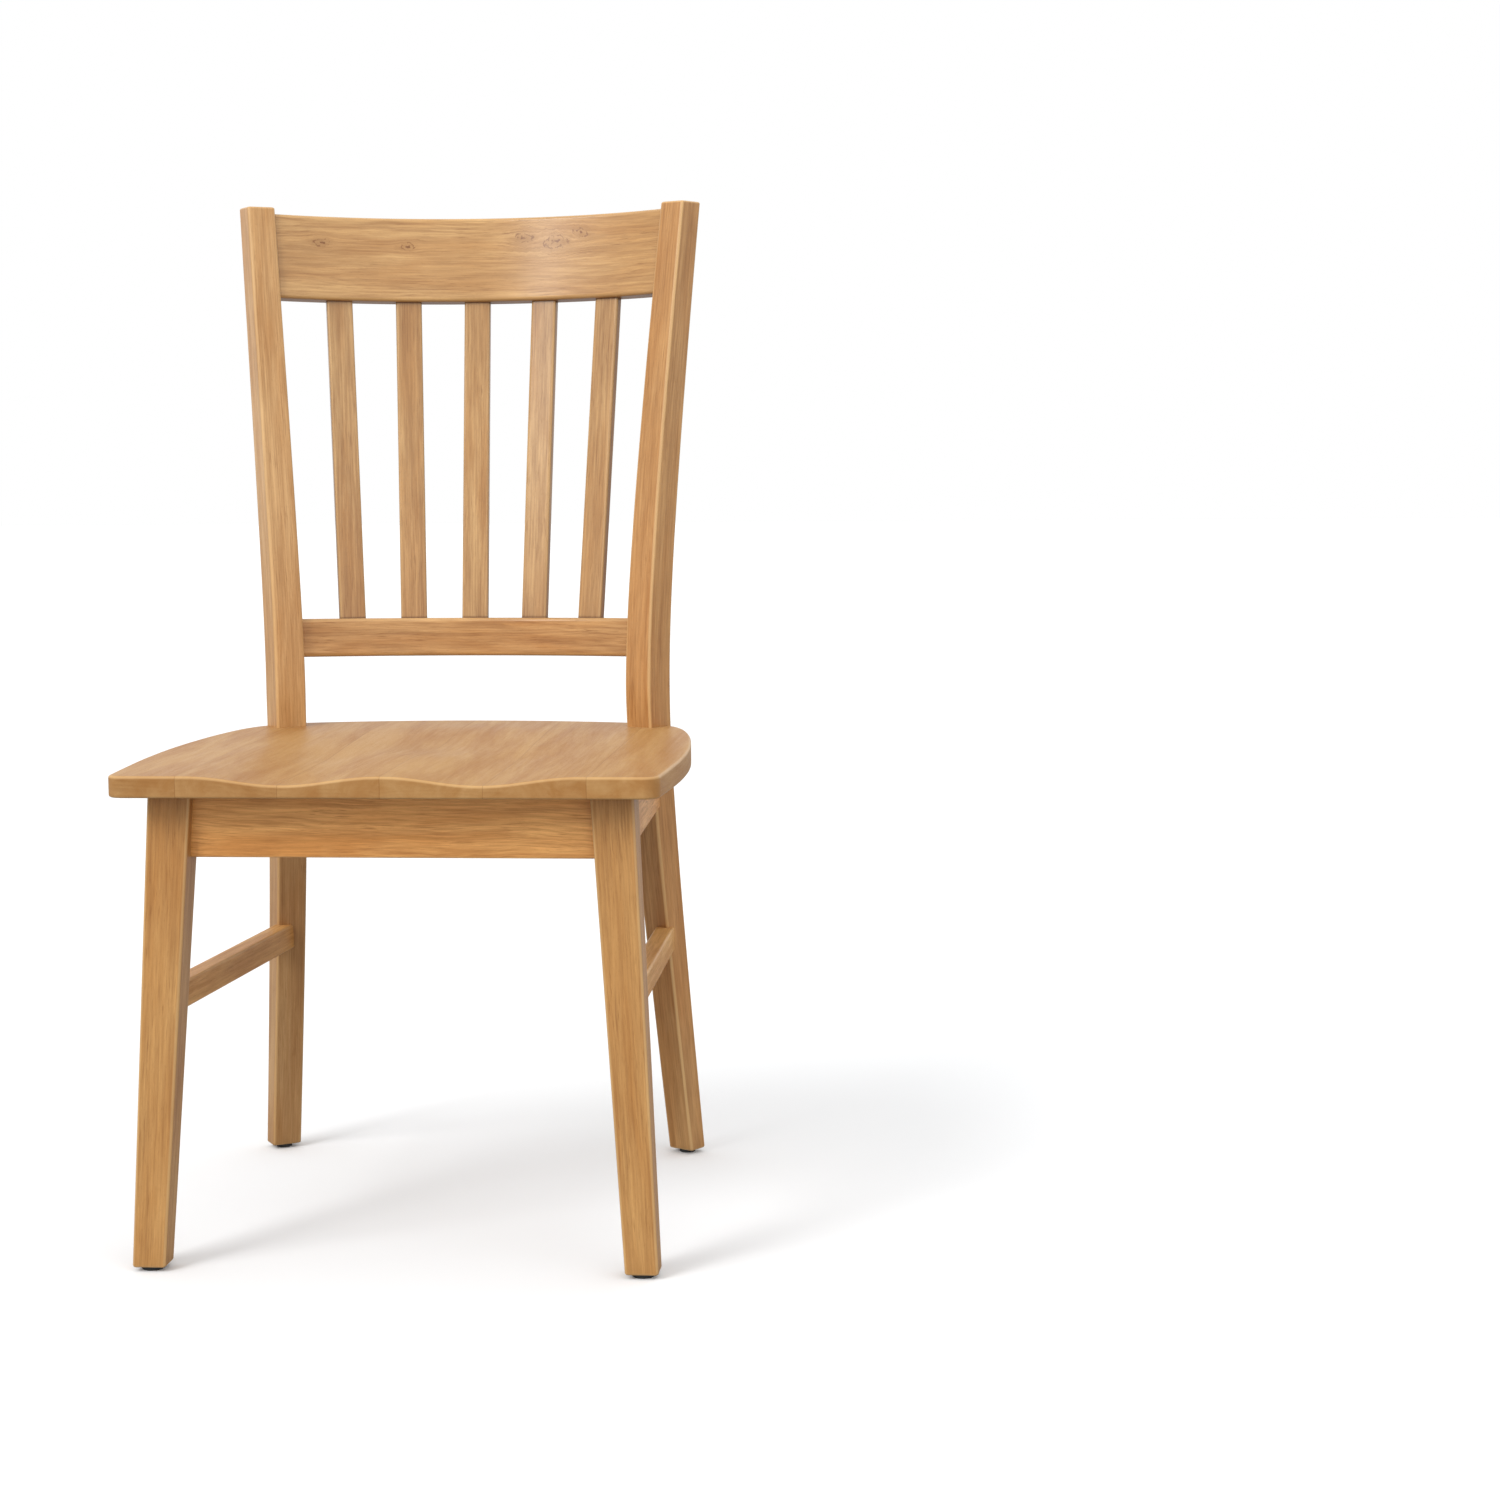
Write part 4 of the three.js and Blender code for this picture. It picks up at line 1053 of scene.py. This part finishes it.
# Zinc plate: two greys in fine spots, a little duller where it is paler.
def makeZinc():
    p = screwValues
    material, w, shader = newGlossy("zinc_screw")
    spots = w.noise(w.put("ShaderNodeTexCoord").outputs["Object"], p["spotScale"], 3.0)
    base = w.blend(w.remap(spots, *p["spots"]), p["dark"], p["pale"])
    w.paint(shader, base, w.remap(spots, 0.3, 0.7, *p["rough"]))
    shader.inputs["Metallic"].default_value = 1.0
    return material


# Black moulded plastic with a fine speckle, scuffed near the floor.
def makeGlidePlastic():
    p = glideValues
    material, w, shader = newGlossy("glide_plastic")
    place = w.put("ShaderNodeTexCoord").outputs["Object"]
    speckle = w.noise(place, p["speckleScale"])
    scuff = w.remap(w.split(place)[2], 0.0, p["scuffHeight"], p["scuffShare"], 0.0)
    scuff = w.times(scuff, w.remap(w.noise(place, p["scuffScale"], 3.0), 0.4, 0.6))
    base = w.blend(w.remap(speckle, 0.3, 0.7), p["dark"], p["pale"])
    w.paint(shader, w.blend(scuff, base, p["scuff"]), w.remap(speckle, 0.3, 0.7, *p["rough"]))
    w.relief(speckle, shader, *p["bump"])
    return material


keptLooks = {"corner_block": makeSawnWood(), "screw": makeZinc(), "glide": makeGlidePlastic()}
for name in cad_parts:
    for part, material in keptLooks.items():
        if part in name:
            node = bpy.data.objects[name]
            node.data.materials.clear()
            node.data.materials.append(material)
print("blocks, screws and glides finished")

# floor, light and camera
studio = {
    "floorSize": 60.0, "floorTone": (0.872, 0.88, 0.888), "floorBounce": (0.36, 0.36, 0.36),
    "worldTone": 1.0, "worldStrength": 1.0,
    "keyFrom": (-0.85, -0.95, 0.95), "keySpread": 28, "keyPower": 1.15,
    "fillFrom": (0.55, -0.90, 0.55), "fillSpread": 70, "fillPower": 0.55,
    "softboxPlace": (-1.52, -2.30, 2.25), "softboxAim": (0.05, 0.26, 0.80), "softboxSize": (0.55, 1.5),
    "softboxPower": 15,
}


# A wide flat sheet: a grid of points at height zero.
def makeFloor():
    reach = np.linspace(-0.5, 0.5, 13) * studio["floorSize"]
    gridX, gridY = np.meshgrid(reach, reach)
    points = np.stack([gridX, gridY, gridX * 0], -1).reshape(-1, 3)
    index = np.arange(len(points)).reshape(gridX.shape)
    quads = np.stack([index[:-1, :-1], index[:-1, 1:], index[1:, 1:], index[1:, :-1]], -1).reshape(-1, 4)
    mesh = bpy.data.meshes.new("studio_floor")
    mesh.from_pydata(points.tolist(), [], quads.tolist())
    floor = addObject("studio_floor", mesh)
    material, w, surface = newMaterial("studio_white")
    mixer = w.put("ShaderNodeMixShader")
    w.join(w.put("ShaderNodeLightPath").outputs["Is Camera Ray"], mixer.inputs[0])
    for place, tone in ((1, studio["floorBounce"]), (2, studio["floorTone"])):
        paint = w.put("ShaderNodeBsdfDiffuse")
        paint.inputs["Color"].default_value = tone + (1,)
        w.join(paint.outputs[0], mixer.inputs[place])
    openBelow = w.put("ShaderNodeMixShader")  # seen from below, the floor is left open
    w.join(w.put("ShaderNodeNewGeometry").outputs["Backfacing"], openBelow.inputs[0])
    w.join(mixer.outputs[0], openBelow.inputs[1])
    w.join(w.put("ShaderNodeBsdfTransparent").outputs[0], openBelow.inputs[2])
    w.join(openBelow.outputs[0], surface)
    mesh.materials.append(material)


makeFloor()
for name in ("key", "fill"):
    sun = bpy.data.lights.new(name + "_light", "SUN")
    sun.angle = math.radians(studio[name + "Spread"])
    sun.energy = studio[name + "Power"]
    lamp = addObject(name + "_light", sun)
    lamp.rotation_euler = Vector(studio[name + "From"]).to_track_quat("Z", "Y").to_euler()
softbox = bpy.data.lights.new("softbox", "AREA")
softbox.shape = "RECTANGLE"
softbox.size, softbox.size_y = studio["softboxSize"]
softbox.energy = studio["softboxPower"]
softboxLamp = addObject("softbox", softbox)
softboxLamp.location = studio["softboxPlace"]
aim = Vector(studio["softboxAim"]) - Vector(studio["softboxPlace"])
softboxLamp.rotation_euler = aim.to_track_quat("-Z", "Y").to_euler()
world = bpy.data.worlds.new("studio_air")
bpy.context.scene.world = world
world.use_nodes = True
background = world.node_tree.nodes["Background"]
background.inputs[0].default_value = (studio["worldTone"],) * 3 + (1,)
background.inputs[1].default_value = studio["worldStrength"]

cameraValues = {
    "place": (0.5318, frontY - 2.4681, 0.7419), "turn": (84.112, 0.40, 4.582),
    "lens": 67.78, "sensor": 36.0,
}
cameraData = bpy.data.cameras.new("studio_camera")
cameraData.lens = cameraValues["lens"]
cameraData.sensor_width = cameraValues["sensor"]
camera = addObject("studio_camera", cameraData)
camera.location = cameraValues["place"]
camera.rotation_euler = [math.radians(a) for a in cameraValues["turn"]]
bpy.context.scene.camera = camera
bpy.context.scene.view_settings.view_transform = "Standard"
print("floor, light and camera made")

bpy.context.view_layer.update()
